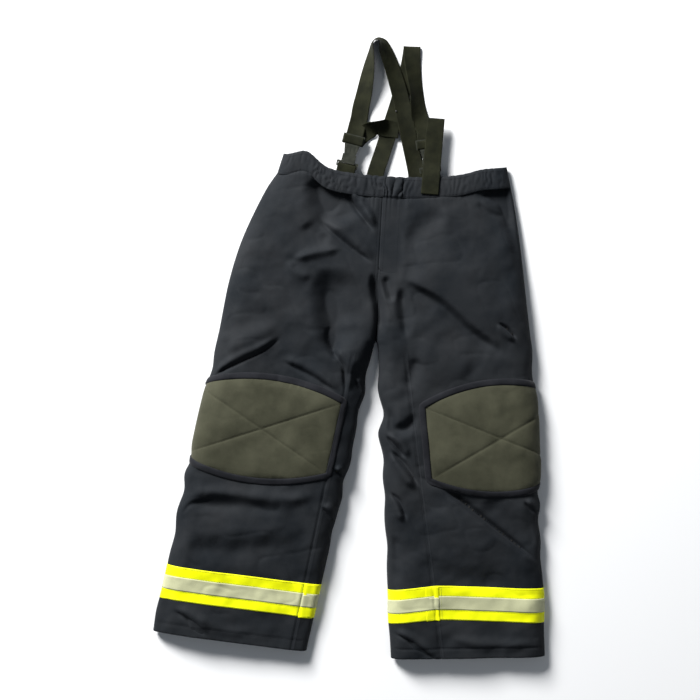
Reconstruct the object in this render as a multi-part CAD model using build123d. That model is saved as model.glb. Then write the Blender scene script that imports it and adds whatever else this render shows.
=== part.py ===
from build123d import *
import os
from math import cos, radians, sin, tan

# Firefighter's over-trousers, lying face up on a flat surface, with crossed elastic braces.
# Millimetres and degrees. While it is being built the garment stands in its own frame: the crotch is
# the zero point, +X goes to the wearer's left, +Y to the waist and +Z up out of the front. At the end
# everything is moved so that the zero point is the bottom centre of the whole object's box.
# "Right" and "left" are the wearer's own.

# --- overall cut -------------------------------------------------------------------------------------
RISE = 362.0             # crotch to the waistband's top edge, at centre front
WAIST_WIDTH = 516.0      # across the waistband's lower edge
WAIST_OFFSET = 19.0      # the waist lies this far to the wearer's left of the crotch
WAIST_TAPER = 11.0       # the top edge is this much shorter than the lower one, at each side
WAIST_LIFT = 40.0        # the corners of the waistband stand this much higher than its centre
WAIST_DIP = 0.45         # share of each half that hangs down low at the centre
WAIST_DIP_LIFT = 7.0     # how much higher the dip's ends are than the centre
BAND_HEIGHT = 45.0       # waistband
HIP_WIDTH = 622.0        # at the hip line
HIP_LINE = 204.0         # hip line above the crotch
LEG_WIDTH = 340.0        # thigh, at the crotch line
KNEE_WIDTH = 346.0
HEM_WIDTH = 340.0
LEG_LENGTH = 686.0       # crotch line to hem, along the leg
CROTCH_GAP = 10.0        # between the legs at the crotch line
CROSS_SLANT = 4.2        # hems, trim and folds drop this many degrees towards the inseam
SPLAY = {"right": 9.1, "left": 5.7}
SIDE = {"right": -1, "left": 1}

# --- thickness of the garment as it lies ----------------------------------------------------------------
WAIST_THICKNESS = 21.0   # at the highest corner of the waistband
BODY_THICKNESS = 40.0    # from the seat to the knee
HEM_THICKNESS = 30.0
SEAT_FULL_LINE = 100.0   # below this line the garment has its full thickness
SEAM_HEIGHT = 10.0       # side seams lie this high above the surface

# --- fabric layers ---------------------------------------------------------------------------------------
SHELL = 1.6
BARRIER = 1.0
LINER = 2.4
WALL = SHELL + BARRIER + LINER
FOLD_GAP = 0.6           # between two solids that fold apart
EASE = 0.3               # clearance between pieces of two bodies
OVERRUN = 4.0            # how far a cutting volume runs past an open end

# --- legs --------------------------------------------------------------------------------------------------
KNEE_LINE = 212.0        # knee pad's centre, down the leg
CUFF_HEIGHT = 80.0       # anti-wicking cuff inside the hem
INNER_SEAM = {"right": (42.0, 34.0), "left": (56.0, 110.0)}   # seam from the inner edge, at crotch and hem
PAD_WIDTH = 322.0
PAD_LENGTH = 216.0       # along the leg, at the middle
PAD_END = 158.0          # along the leg, at its two ends
PAD_OFFSET = {"right": 31.0, "left": 100.0}                   # pad centre, outwards from the leg's centre
PAD_BORDER = 12.0
FOLD_MARGIN = 20.0       # from the pad's border to the line where the leg folds
FOLD_LINE = KNEE_LINE + PAD_LENGTH / 2 + PAD_BORDER + FOLD_MARGIN
PAD_FOAM = 5.0
PAD_COVER = 1.5
BORDER_THICKNESS = 2.5
TRIM_LINE = 575.0        # centre of the reflective trim, down the leg
TRIM_WIDTH = 75.0
TRIM_SILVER = 30.0
TRIM_THICKNESS = 0.8
SILVER_THICKNESS = 0.3

# --- fly ---------------------------------------------------------------------------------------------------
FLY_LENGTH = 165.0       # zip, below the waistband
FLY_LEFT = 38.0          # the flap's sewn edge
FLY_FREE = -4.0          # the flap's free edge
FLAP_THICKNESS = 1.6
ZIP_CENTRE = 19.0
ZIP_OPENING = 30.0
ZIP_DEPTH = 4.2          # zip tape's back, under the front's surface
TAPE_THICKNESS = 1.0
TOOTH_PITCH = 4.0
TOOTH_LENGTH = 2.2
TOOTH_ROOT = 1.6
SLIDER_LENGTH = 12.0
SLIDER_WIDTH = 9.0
SLIDER_THICKNESS = 1.6
PULLER_LENGTH = 22.0
PULLER_WIDTH = 6.0
PULLER_THICKNESS = 0.9
SNAP_RADIUS = 7.5
SNAP_POST = 2.4
SNAP_SOCKET = 3.0
SNAP_RING = 6.0
ELASTIC = 1.8
ELASTIC_MARGIN = 5.0

# --- braces --------------------------------------------------------------------------------------------------
WEBBING_WIDTH = 40.0
WEBBING = 2.0
BRACE_TOP = 653.0        # where the left brace folds over, above the crotch
BRACE_FOLD = 372.0       # the braces fold over the front about this line, above the crotch
BRACE_FOLD_HEIGHT = 30.0
LAP = 0.4                # between webbing that lies on webbing
CLASP_HEIGHT = 14.0      # the clasps' middle plane
CLASP_BAR = {"right": (-87.0, 380.0), "left": (98.0, 380.0)}
CLASP_HEADING = {"right": 11.0, "left": -11.0}                # from +Y towards +X
CLASP_TRAVEL = 28.0
FRAME_THICKNESS = 4.0
SLOT_CLEARANCE = 1.0     # between the webbing and each end of a slot
SLOT_LENGTH = WEBBING_WIDTH + 2 * SLOT_CLEARANCE
FRAME_SIDE = 3.0         # from a slot's end to the frame's side
FRAME_WIDTH = SLOT_LENGTH + 2 * FRAME_SIDE
SLOT_WIDTH = 5.0
TAB_DEPTH = 32.0         # how far a clasp's tab reaches down inside the waistband
BAR = 4.0
RECEIVER_WIDTH = 30.0
RECEIVER_MOUTH = 27.0    # from the receiver's bar
RECEIVER_THICKNESS = 8.8
RECEIVER_PLATE = 1.8
CLASP_BODY_END = 50.0    # where the tapered body meets the adjuster frame, from the receiver's bar
TONGUE_WIDTH = 7.0
PRONG_WIDTH = 4.0
PRONG_CENTRE = 8.5
BARB = 3.0
TACK_RADIUS = 1.6
RIGHT_BACK = ((68.0, 370.0), (-15.0, 655.0))     # from the waist's left side to the right brace's top
LEFT_BACK = ((-20.0, 370.0), (45.0, BRACE_TOP))  # from the waist's right side to the left brace's top
LEFT_FRONT_END = (66.0, 530.0)                   # where the left brace's upper part meets its clasp strap
RIGHT_LOOP = ((-50.0, 588.0), (-47.0, 640.0), (-41.0, 660.0), (-27.0, 667.0), (-13.0, 655.0))
RIGHT_FRONT_LENGTH = 182.0                       # strap on the clasp, from the receiver's bar
LEFT_FRONT_LENGTH = 166.0
RIGHT_TAIL = ((-52.0, 450.0), (-47.0, 473.0), (-30.0, 482.0), (-6.0, 482.0), (16.0, 470.0))
RIGHT_TAIL_START = 458.0
RIGHT_TAIL_EDGES = (5.4, 25.0)                   # heights of the edges of the right strap's loose end
LEFT_TAIL = ((102.0, 328.0), (102.0, 497.0))     # the drop of the left strap's loose end
RIGHT_OVERLAP = 24.0     # the right brace's upper part runs this far under its clasp strap

BIG = 2000.0             # larger than the object


# --- shapes --------------------------------------------------------------------------------------------------
def prism(points, low, high):
    """A flat outline in X and Y, raised from one height to another."""
    return Pos(0, 0, low) * extrude(Polygon(*points, align=None), amount=high - low, dir=(0, 0, 1))


def block(low, high):
    size = [b - a for a, b in zip(low, high)]
    middle = [(a + b) / 2 for a, b in zip(low, high)]
    return Pos(*middle) * Box(*size)


def half_space(axis, limit, above):
    """Everything on one side of a plane across the given axis."""
    low, high = [-BIG] * 3, [BIG] * 3
    (low if above else high)[axis] = limit
    return block(low, high)


def offset_path(points, half):
    """The outline of a band that follows a path, with mitred corners."""
    path = [Vector(*p) for p in points]
    normals = [Vector(-(b - a).Y, (b - a).X).normalized() for a, b in zip(path, path[1:])]
    left, right = [], []
    for i, point in enumerate(path):
        before, after = normals[max(i - 1, 0)], normals[min(i, len(normals) - 1)]
        bisector = (before + after).normalized()
        reach = bisector * (half / bisector.dot(after))
        left.append(tuple(point + reach)[:2])
        right.append(tuple(point - reach)[:2])
    return left + right[::-1]


def webbing(start, heading, profile):
    """A strap that is straight seen from above. Its profile is (distance, height) along its middle."""
    along = (sin(radians(heading)), cos(radians(heading)), 0)
    across = (along[1], -along[0], 0)
    side_view = Polygon(*offset_path(profile, WEBBING / 2), align=None)
    strap = extrude(side_view, amount=WEBBING_WIDTH / 2, both=True)
    return Plane(origin=(*start, 0), x_dir=along, z_dir=across) * strap


def solids_of(shape):
    """The solids of a result, in a node of their own."""
    return Compound(list(shape.solids()))


# --- the garment's outline -----------------------------------------------------------------------------------
def leg_point(side, down, out):
    """A point of a leg: down from the crotch line, and out from the leg's centre line."""
    sign, splay = SIDE[side], radians(SPLAY[side])
    down = down + out * tan(splay - radians(CROSS_SLANT))
    hip = sign * (CROTCH_GAP + LEG_WIDTH) / 2
    x = hip + sign * (sin(splay) * down + cos(splay) * out)
    y = -cos(splay) * down + sin(splay) * out
    return (x, y)


def half_width(down):
    """Half of the leg's width at a distance down the leg."""
    if down < KNEE_LINE:
        share = down / KNEE_LINE
        return (LEG_WIDTH + (KNEE_WIDTH - LEG_WIDTH) * share) / 2
    share = (down - KNEE_LINE) / (LEG_LENGTH - KNEE_LINE)
    return (KNEE_WIDTH + (HEM_WIDTH - KNEE_WIDTH) * share) / 2


def leg_edge(side, down, inset, edge):
    """A point of the leg's outer (edge 1) or inner (edge -1) side, moved in by an inset."""
    return leg_point(side, down, edge * (half_width(down) - inset))


def waist_line(height, taper, inset=0.0):
    """The waistband's edge from right to left: low in the middle, and rising to its two corners."""
    low = RISE - height
    halves = {}
    for side, sign in SIDE.items():
        corner = WAIST_OFFSET + sign * (WAIST_WIDTH / 2 - taper)
        bend = WAIST_DIP * corner
        end = corner - sign * inset
        lift = WAIST_DIP_LIFT + (WAIST_LIFT - WAIST_DIP_LIFT) * (end - bend) / (corner - bend)
        halves[side] = [(bend, low + WAIST_DIP_LIFT), (end, low + lift)]
    return halves["right"][::-1] + [(0, low)] + halves["left"]


def seat_outline(inset=0.0, overrun=0.0):
    """Seat and thighs, from the waistband's lower edge to the two leg folds."""
    waist = [(x, y + overrun) for x, y in waist_line(BAND_HEIGHT, 0, inset)]
    end = FOLD_LINE - FOLD_GAP / 2 + overrun
    halves = {}
    for side, sign in SIDE.items():
        outer = [
            (sign * (HIP_WIDTH / 2 - inset), HIP_LINE),
            (sign * (LEG_WIDTH + CROTCH_GAP / 2 - inset), 0),
            leg_edge(side, KNEE_LINE, inset, 1),
            leg_edge(side, end, inset, 1),
        ]
        inner = [
            leg_edge(side, end, inset, -1),
            leg_edge(side, KNEE_LINE, inset, -1),
            (sign * (CROTCH_GAP / 2 + inset), 0),
        ]
        halves[side] = outer + inner
    apex = (0, CROTCH_GAP + inset)
    return waist[::-1] + halves["right"] + [apex] + halves["left"][::-1]


def shin_outline(side, inset=0.0, overrun=0.0, top=FOLD_LINE + FOLD_GAP / 2, end=LEG_LENGTH):
    """One leg from its fold, or from a line further down, to the hem."""
    top, end = top - overrun, end + overrun
    return [
        leg_edge(side, top, inset, -1),
        leg_edge(side, top, inset, 1),
        leg_edge(side, end, inset, 1),
        leg_edge(side, end, inset, -1),
    ]


def front_heights():
    """The front's height above the surface, as (distance from the crotch, height)."""
    top = RISE + WAIST_LIFT
    rate = (BODY_THICKNESS - WAIST_THICKNESS) / (top - SEAT_FULL_LINE)
    hem = -leg_low_point()
    fold = -FOLD_LINE + PAD_BORDER
    hem_rate = (BODY_THICKNESS - HEM_THICKNESS) / (fold - hem)
    return [
        (top + BIG / 20, WAIST_THICKNESS - rate * BIG / 20),
        (SEAT_FULL_LINE, BODY_THICKNESS),
        (fold, BODY_THICKNESS),
        (hem - BIG / 20, HEM_THICKNESS - hem_rate * BIG / 20),
    ]


def leg_low_point():
    """How far the lowest corner of the hems lies from the crotch."""
    return -min(leg_edge(side, LEG_LENGTH, 0, -1)[1] for side in SIDE)


def front_slope():
    (y0, z0), (y1, z1) = front_heights()[:2]
    return (z1 - z0) / (y1 - y0)


def front_height(y):
    """Height of the front's outer surface between the waist and the full line."""
    return BODY_THICKNESS + front_slope() * (y - SEAT_FULL_LINE)


def slab(low, high):
    """What lies between two heights measured from the front's outer surface."""
    heights = front_heights()
    outline = [(y, z + high) for y, z in heights] + [(y, z + low) for y, z in heights[::-1]]
    across = extrude(Polygon(*outline, align=None), amount=BIG, both=True)
    return Plane(origin=(0, 0, 0), x_dir=(0, 1, 0), z_dir=(1, 0, 0)) * across


def volume(outline, inset=0.0):
    """The garment's own space inside an outline, taken in by an inset at the back and the front."""
    heights = front_heights()
    ends = [(heights[-1][0], inset), (heights[0][0], inset)]
    side_view = [(y, z - inset) for y, z in heights] + ends
    across = extrude(Polygon(*side_view, align=None), amount=BIG, both=True)
    envelope = Plane(origin=(0, 0, 0), x_dir=(0, 1, 0), z_dir=(1, 0, 0)) * across
    return prism(outline, inset, BODY_THICKNESS) & envelope


def layer(outline_of, outer, thickness):
    """One fabric layer of a tube that is open at both ends."""
    return volume(outline_of(outer, 0.0), outer) - volume(
        outline_of(outer + thickness, OVERRUN), outer + thickness
    )


# --- shell, barrier and liner --------------------------------------------------------------------------------
def inner_strip(side):
    """The part of a leg that is its inner panel, between the inner edge and the seam."""
    top, low = INNER_SEAM[side]
    end = LEG_LENGTH + OVERRUN
    return prism(
        [
            leg_point(side, 0, -LEG_WIDTH / 2 - OVERRUN),
            leg_point(side, 0, -LEG_WIDTH / 2 + top),
            leg_point(side, end, -HEM_WIDTH / 2 + low),
            leg_point(side, end, -HEM_WIDTH / 2 - OVERRUN),
        ],
        -OVERRUN,
        BODY_THICKNESS + OVERRUN,
    )


def panels(shell, strips):
    """A shell cut at its seams into front, back and inner panels."""
    rest = shell
    for strip in strips.values():
        rest = rest - strip
    return {
        "front": rest & half_space(2, SEAM_HEIGHT, True),
        "back": rest & half_space(2, SEAM_HEIGHT, False),
        **{f"{side}_inner": shell & strip for side, strip in strips.items()},
    }


def fly_opening():
    """The slit in the front that the zip closes."""
    low = RISE - BAND_HEIGHT - FLY_LENGTH
    return block(
        (ZIP_CENTRE - ZIP_OPENING / 2, low, BODY_THICKNESS / 4),
        (ZIP_CENTRE + ZIP_OPENING / 2, RISE - BAND_HEIGHT + OVERRUN, BODY_THICKNESS + OVERRUN),
    )


def seat_nodes():
    strips = {side: inner_strip(side) for side in SIDE}
    shell = layer(seat_outline, 0, SHELL) - fly_opening()
    cut = panels(shell, strips)
    right, left = half_space(0, 0, False), half_space(0, 0, True)
    return {
        "right_front_panel": cut["front"] & right,
        "left_front_panel": cut["front"] & left,
        "right_back_panel": cut["back"] & right,
        "left_back_panel": cut["back"] & left,
        "right_inner_leg_panel": cut["right_inner"],
        "left_inner_leg_panel": cut["left_inner"],
        "seat_moisture_barrier": layer(seat_outline, SHELL, BARRIER) - fly_opening(),
        "seat_liner": layer(seat_outline, SHELL + BARRIER, LINER) - fly_opening(),
    }


def shin_nodes(side):
    def tube(inset, overrun):
        return shin_outline(side, inset, overrun)

    def short_tube(inset, overrun):
        return shin_outline(side, inset, overrun, end=LEG_LENGTH - CUFF_HEIGHT)

    def cuff_tube(inset, overrun):
        return shin_outline(side, inset, overrun, top=LEG_LENGTH - CUFF_HEIGHT + FOLD_GAP)

    def trim_tube(width):
        def outline(inset, overrun):
            low, high = TRIM_LINE - width / 2, TRIM_LINE + width / 2
            return shin_outline(side, inset, overrun, top=low, end=high)

        return outline

    yellow = layer(trim_tube(TRIM_WIDTH), 0, TRIM_THICKNESS)
    silver = layer(trim_tube(TRIM_SILVER), 0, SILVER_THICKNESS)
    cut = panels(layer(tube, 0, SHELL) - yellow, {side: inner_strip(side)})
    return {
        f"{side}_shin_front_panel": cut["front"],
        f"{side}_shin_back_panel": cut["back"],
        f"{side}_shin_inner_panel": cut[f"{side}_inner"],
        f"{side}_shin_moisture_barrier": layer(short_tube, SHELL, BARRIER),
        f"{side}_shin_liner": layer(short_tube, SHELL + BARRIER, LINER),
        f"{side}_hem_cuff": layer(cuff_tube, SHELL, BARRIER),
        f"{side}_trim_yellow": yellow - silver,
        f"{side}_trim_silver": silver,
    }


# --- knee pads ---------------------------------------------------------------------------------------------
def pad_outline(side, grow=0.0):
    """The pad's barrel shape: straight ends, and long edges that bow out."""
    half, middle, end = PAD_WIDTH / 2 + grow, PAD_LENGTH / 2 + grow, PAD_END / 2 + grow
    shares = (-1, -0.5, 0, 0.5, 1)
    bow = [(share * half, middle - (middle - end) * share * share) for share in shares]
    loop = bow + [(out, -length) for out, length in bow[::-1]]
    centre = PAD_OFFSET[side]
    return [leg_point(side, KNEE_LINE + length, centre + out) for out, length in loop]


def knee_nodes(side):
    """The pad lies on the front and turns down over the leg's outer side, as far as the side seam."""
    front = BODY_THICKNESS
    foam_top = front + PAD_FOAM
    top = foam_top + PAD_COVER
    thigh = seat_outline()
    inner = prism(pad_outline(side), 0, BIG)
    ring = prism(pad_outline(side, PAD_BORDER), 0, BIG) - inner
    on_leg = prism(thigh, 0, BIG)
    turned = prism(seat_outline(-PAD_COVER), SEAM_HEIGHT, BIG) - on_leg
    beside = turned & half_space(0, 0, side == "left")
    return {
        f"{side}_knee_foam": inner & on_leg & block((-BIG, -BIG, front), (BIG, BIG, foam_top)),
        f"{side}_knee_cover": (inner & on_leg & block((-BIG, -BIG, foam_top), (BIG, BIG, top)))
        + (inner & beside & half_space(2, top, False)),
        f"{side}_knee_border": (
            ring & on_leg & block((-BIG, -BIG, front), (BIG, BIG, front + BORDER_THICKNESS))
        )
        + (ring & beside & half_space(2, front + BORDER_THICKNESS, False)),
    }


# --- waistband and fly ---------------------------------------------------------------------------------------
def band_outline(inset=0.0, overrun=0.0, margin=0.0):
    top = [(x, y + overrun - margin) for x, y in waist_line(0, WAIST_TAPER, inset)]
    low = [(x, y - overrun) for x, y in waist_line(BAND_HEIGHT, 0, inset)]
    return top + low[::-1]


def snap_place():
    """Centre of the waistband's snap, on the front's outer surface."""
    y = RISE - BAND_HEIGHT / 2
    return (ZIP_CENTRE, y, front_height(y))


def waistband_nodes():
    x, y, z = snap_place()
    socket = Pos(x, y, z) * Cylinder(SNAP_RING, 4 * WALL)
    elastic = volume(band_outline(SHELL, 0.0, ELASTIC_MARGIN), SHELL) - volume(
        band_outline(SHELL + ELASTIC, OVERRUN), SHELL + ELASTIC
    )
    elastic = elastic - block(
        (FLY_FREE - ELASTIC_MARGIN, 0, SEAM_HEIGHT), (FLY_LEFT + ELASTIC_MARGIN, BIG, BIG)
    )
    band = layer(band_outline, 0, WALL) - elastic - socket
    front = band & half_space(2, SEAM_HEIGHT, True)
    ring_band = slab(-WALL, 0)
    ring = (socket & ring_band) - Pos(x, y, z) * Cylinder(SNAP_SOCKET, 4 * WALL)
    return {
        "right_waistband_front": front & half_space(0, 0, False),
        "left_waistband_front": front & half_space(0, 0, True),
        "waistband_back": band & half_space(2, SEAM_HEIGHT, False),
        "waistband_elastic": elastic,
        "waist_snap_stud": ring,
    }


def zip_low():
    return RISE - BAND_HEIGHT - FLY_LENGTH


def slider_place():
    """The slider's top end, when the zip is closed."""
    return RISE - BAND_HEIGHT - ELASTIC_MARGIN


def tooth_row(sign):
    """One row of zip teeth, a comb seen from above. The two rows' teeth pass between each other."""
    low = zip_low() + ELASTIC_MARGIN
    count = int((slider_place() - low) / TOOTH_PITCH)
    phase = 0 if sign > 0 else TOOTH_PITCH / 2
    spine = ZIP_CENTRE + sign * (TOOTH_LENGTH / 2 + TOOTH_ROOT)
    root = ZIP_CENTRE + sign * (TOOTH_LENGTH / 2 + EASE)
    tip = ZIP_CENTRE - sign * (TOOTH_LENGTH / 2 - EASE)
    points = [(spine, low)]
    for i in range(count):
        y = low + phase + i * TOOTH_PITCH + EASE
        width = TOOTH_PITCH / 2 - 2 * EASE
        points += [(root, y), (tip, y), (tip, y + width), (root, y + width)]
    points += [(root, slider_place() + TOOTH_PITCH), (spine, slider_place() + TOOTH_PITCH)]
    return prism(points, 0, BIG)


def fly_nodes():
    low, high = zip_low(), RISE - BAND_HEIGHT
    left, right = ZIP_CENTRE - ZIP_OPENING / 2, ZIP_CENTRE + ZIP_OPENING / 2
    tape_top = TAPE_THICKNESS - ZIP_DEPTH
    spine = TOOTH_LENGTH / 2 + EASE
    tapes = block((left, low, 0), (ZIP_CENTRE - spine, high, BIG)) + block(
        (ZIP_CENTRE + spine, low, 0), (right, high, BIG)
    )
    teeth = tooth_row(1) + tooth_row(-1)
    slider_low = slider_place() - SLIDER_LENGTH
    slider = prism(
        [
            (ZIP_CENTRE - SLIDER_WIDTH / 2, slider_place()),
            (ZIP_CENTRE + SLIDER_WIDTH / 2, slider_place()),
            (ZIP_CENTRE + SLIDER_WIDTH / 3, slider_low),
            (ZIP_CENTRE - SLIDER_WIDTH / 3, slider_low),
        ],
        0,
        BIG,
    )
    pivot = slider_low - PULLER_WIDTH / 2 - EASE
    puller = block(
        (ZIP_CENTRE - PULLER_WIDTH / 2, pivot - PULLER_LENGTH, 0),
        (ZIP_CENTRE + PULLER_WIDTH / 2, pivot, BIG),
    ) + Pos(ZIP_CENTRE, pivot, BIG / 2) * Cylinder(PULLER_WIDTH / 2, BIG)
    hole = Pos(ZIP_CENTRE, pivot - PULLER_LENGTH + PULLER_WIDTH / 2, BIG / 2)
    puller = puller - hole * Cylinder(PULLER_WIDTH / 4, BIG)
    slider_back = tape_top + TAPE_THICKNESS + EASE
    slider_top = slider_back + SLIDER_THICKNESS
    flap = block((FLY_FREE, low - ELASTIC_MARGIN, 0), (FLY_LEFT, high - EASE, BIG))
    tab = prism(
        [(FLY_FREE, RISE - EASE), (FLY_FREE, high), (FLY_LEFT, high), (FLY_LEFT, RISE - EASE)],
        0,
        BIG,
    )
    x, y, z = snap_place()
    snap = Pos(x, y, z) * Cylinder(SNAP_RADIUS, 4 * WALL)
    post = Pos(x, y, z) * Cylinder(SNAP_POST, 4 * WALL)
    flap_top = EASE + FLAP_THICKNESS
    return {
        "zip_tapes": tapes & slab(-ZIP_DEPTH, tape_top),
        "zip_teeth": teeth & slab(tape_top, tape_top + TAPE_THICKNESS),
        "fly_shield": block((left - BAR, low - BAR, 0), (right + BAR, high, BIG))
        & slab(-WALL - SHELL, -WALL),
        "zip_slider": slider & slab(slider_back, slider_top),
        "zip_puller": puller & slab(slider_back, slider_back + PULLER_THICKNESS),
        "fly_flap": flap & slab(EASE, flap_top),
        "waist_tab": (tab & slab(EASE, flap_top)) - post,
        "waist_snap_cap": (snap & slab(flap_top, flap_top + SHELL))
        + (post & slab(-WALL / 2, flap_top)),
    }


# --- clasps ------------------------------------------------------------------------------------------------
def clasp_plane(side):
    """The clasp's own frame: X along the strap from the receiver's bar, Z up."""
    heading = radians(CLASP_HEADING[side])
    return Plane(
        origin=(*CLASP_BAR[side], CLASP_HEIGHT),
        x_dir=(sin(heading), cos(heading), 0),
        z_dir=(0, 0, 1),
    )


def bar_frame(start, slots):
    """A flat frame of cross bars with a webbing slot between each two."""
    length = BAR + slots * (SLOT_WIDTH + BAR)
    half = FRAME_THICKNESS / 2
    frame = block((start, -FRAME_WIDTH / 2, -half), (start + length, FRAME_WIDTH / 2, half))
    corners = frame.edges().filter_by(Axis.Z)
    frame = fillet(corners, BAR / 2)
    for i in range(slots):
        low = start + BAR + i * (SLOT_WIDTH + BAR)
        frame = frame - block((low, -SLOT_LENGTH / 2, -BAR), (low + SLOT_WIDTH, SLOT_LENGTH / 2, BAR))
    return frame


def receiver():
    """The half that is sewn to the trousers: a bar frame and an open-sided mouth of two plates."""
    frame = bar_frame(-BAR / 2, 1)
    half, width = RECEIVER_THICKNESS / 2, RECEIVER_WIDTH / 2
    wall_end = BAR / 2 + SLOT_WIDTH + BAR
    wall = block((wall_end - BAR, -width, -half), (wall_end, width, half))
    upper = block((wall_end, -width, half - RECEIVER_PLATE), (RECEIVER_MOUTH, width, half))
    lower = block((wall_end, -width, -half), (RECEIVER_MOUTH, width, RECEIVER_PLATE - half))
    return frame + wall + upper + lower


def tongue_low():
    return BAR / 2 + SLOT_WIDTH + BAR + EASE * 3


def tongue_half():
    """Half the height that the mouth leaves for the tongue and the prongs."""
    return RECEIVER_THICKNESS / 2 - RECEIVER_PLATE - 2 * EASE


def clasp_body():
    """The half that carries the strap: tongue, tapered body with ribs, and adjuster frame."""
    start = RECEIVER_MOUTH + EASE
    half = RECEIVER_THICKNESS / 2 - EASE
    narrow, wide = PRONG_CENTRE + PRONG_WIDTH, RECEIVER_WIDTH / 2 + 2
    body = prism(
        [(start, -narrow), (start, narrow), (CLASP_BODY_END, wide), (CLASP_BODY_END, -wide)],
        -half,
        half,
    )
    rib_start, rib_end = start + BAR, CLASP_BODY_END - BAR
    groove = BAR / 2
    for i in (-1, 0, 1):
        middle = i * PRONG_CENTRE
        low, high = middle - groove / 2, middle + groove / 2
        body = body - block((rib_start, low, half - EASE * 2), (rib_end, high, half))
        body = body - block((rib_start, low, -half), (rib_end, high, EASE * 2 - half))
    tongue = block(
        (tongue_low(), -TONGUE_WIDTH / 2, -tongue_half()), (start, TONGUE_WIDTH / 2, tongue_half())
    )
    return body + tongue + bar_frame(CLASP_BODY_END, 2)


def prong(sign):
    """A springy arm of the clasp. Its barb is what the fingers press."""
    inner, outer = PRONG_CENTRE - PRONG_WIDTH / 2, PRONG_CENTRE + PRONG_WIDTH / 2
    low = tongue_low()
    barb_start, barb_end = low + BARB, low + 3 * BARB
    outline = [
        (low, inner),
        (RECEIVER_MOUTH, inner),
        (RECEIVER_MOUTH, outer),
        (barb_end + BARB, outer),
        (barb_end, outer + BARB),
        (barb_start, outer + BARB),
        (low, inner + BARB / 2),
    ]
    return prism([(x, sign * y) for x, y in outline], -tongue_half(), tongue_half())


def slot_centre(number):
    """Middle of an adjuster slot, from the receiver's bar. Slot 0 is the one next to the body."""
    return CLASP_BODY_END + BAR + SLOT_WIDTH / 2 + number * (SLOT_WIDTH + BAR)


def strap_through_adjuster(tail_length, far_profile):
    """The strap comes in under the end bar, goes over the middle bar and leaves below as the tail."""
    beside = FRAME_THICKNESS / 2 + EASE + WEBBING / 2
    under = beside + WEBBING + LAP
    path = far_profile + [
        (slot_centre(1) + BAR + SLOT_WIDTH, -beside),
        (slot_centre(1), -beside),
        (slot_centre(1), beside),
        (slot_centre(0), beside),
        (slot_centre(0), -under),
        (slot_centre(0) + tail_length, -under),
    ]
    return [(u, CLASP_HEIGHT + w) for u, w in path]


def tab_profile(side):
    """The tab comes up under the front of the waistband, turns round the receiver's bar and goes back."""
    beside = FRAME_THICKNESS / 2 + EASE + WEBBING / 2
    slot = BAR / 2 + SLOT_WIDTH / 2
    edge = BRACE_FOLD - BAR - CLASP_BAR[side][1]
    end = edge - TAB_DEPTH
    under = WALL + LAP + WEBBING / 2 + CLASP_HEIGHT
    at_edge = front_height(BRACE_FOLD) - under
    at_end = front_height(BRACE_FOLD - BAR - TAB_DEPTH) - under
    path = [
        (end, at_end - WEBBING - LAP),
        (edge, at_edge - WEBBING - LAP),
        (-BAR, -beside),
        (slot, -beside),
        (slot, beside),
        (-BAR, beside),
        (edge, at_edge),
        (end, at_end),
    ]
    return [(u, CLASP_HEIGHT + w) for u, w in path]


# --- braces ------------------------------------------------------------------------------------------------
def at_fold(strap):
    """A strap cut where the braces fold over: what stays on the trousers, and what folds."""
    stays = strap & half_space(1, BRACE_FOLD - FOLD_GAP / 2, False)
    folds = strap & half_space(1, BRACE_FOLD + FOLD_GAP / 2, True)
    return stays, folds


def heading_to(start, end):
    """Heading and distance from one point to another, seen from above."""
    reach = Vector(*end) - Vector(*start)
    return Vector(0, 1).get_signed_angle(reach, Vector(0, 0, -1)), reach.length


def cross_place():
    """Where the two back straps cross, on the line through their ends."""
    a, b = Vector(*RIGHT_BACK[0]), Vector(*RIGHT_BACK[1])
    c, d = Vector(*LEFT_BACK[0]), Vector(*LEFT_BACK[1])
    along, other, between = b - a, d - c, c - a
    share = (between.X * other.Y - between.Y * other.X) / (along.X * other.Y - along.Y * other.X)
    return a + along * share


def back_strap(ends, lift):
    """A strap from inside the back of the waistband, down to the surface. Lift raises it at the cross."""
    heading, length = heading_to(*ends)
    floor, inside = WEBBING / 2, WALL + LAP + WEBBING / 2
    cross = (cross_place() - Vector(*ends[0])).length
    run, ramp = 2 * WEBBING_WIDTH, 0.4 * WEBBING_WIDTH
    profile = [(-BAND_HEIGHT / 2, inside), (ramp / 2, inside), (1.5 * ramp, floor)]
    if lift:
        profile += [
            (cross - run - ramp, floor),
            (cross - run, floor + lift),
            (length, floor + lift),
        ]
    else:
        profile += [(length, floor)]
    return webbing(ends[0], heading, profile)


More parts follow.
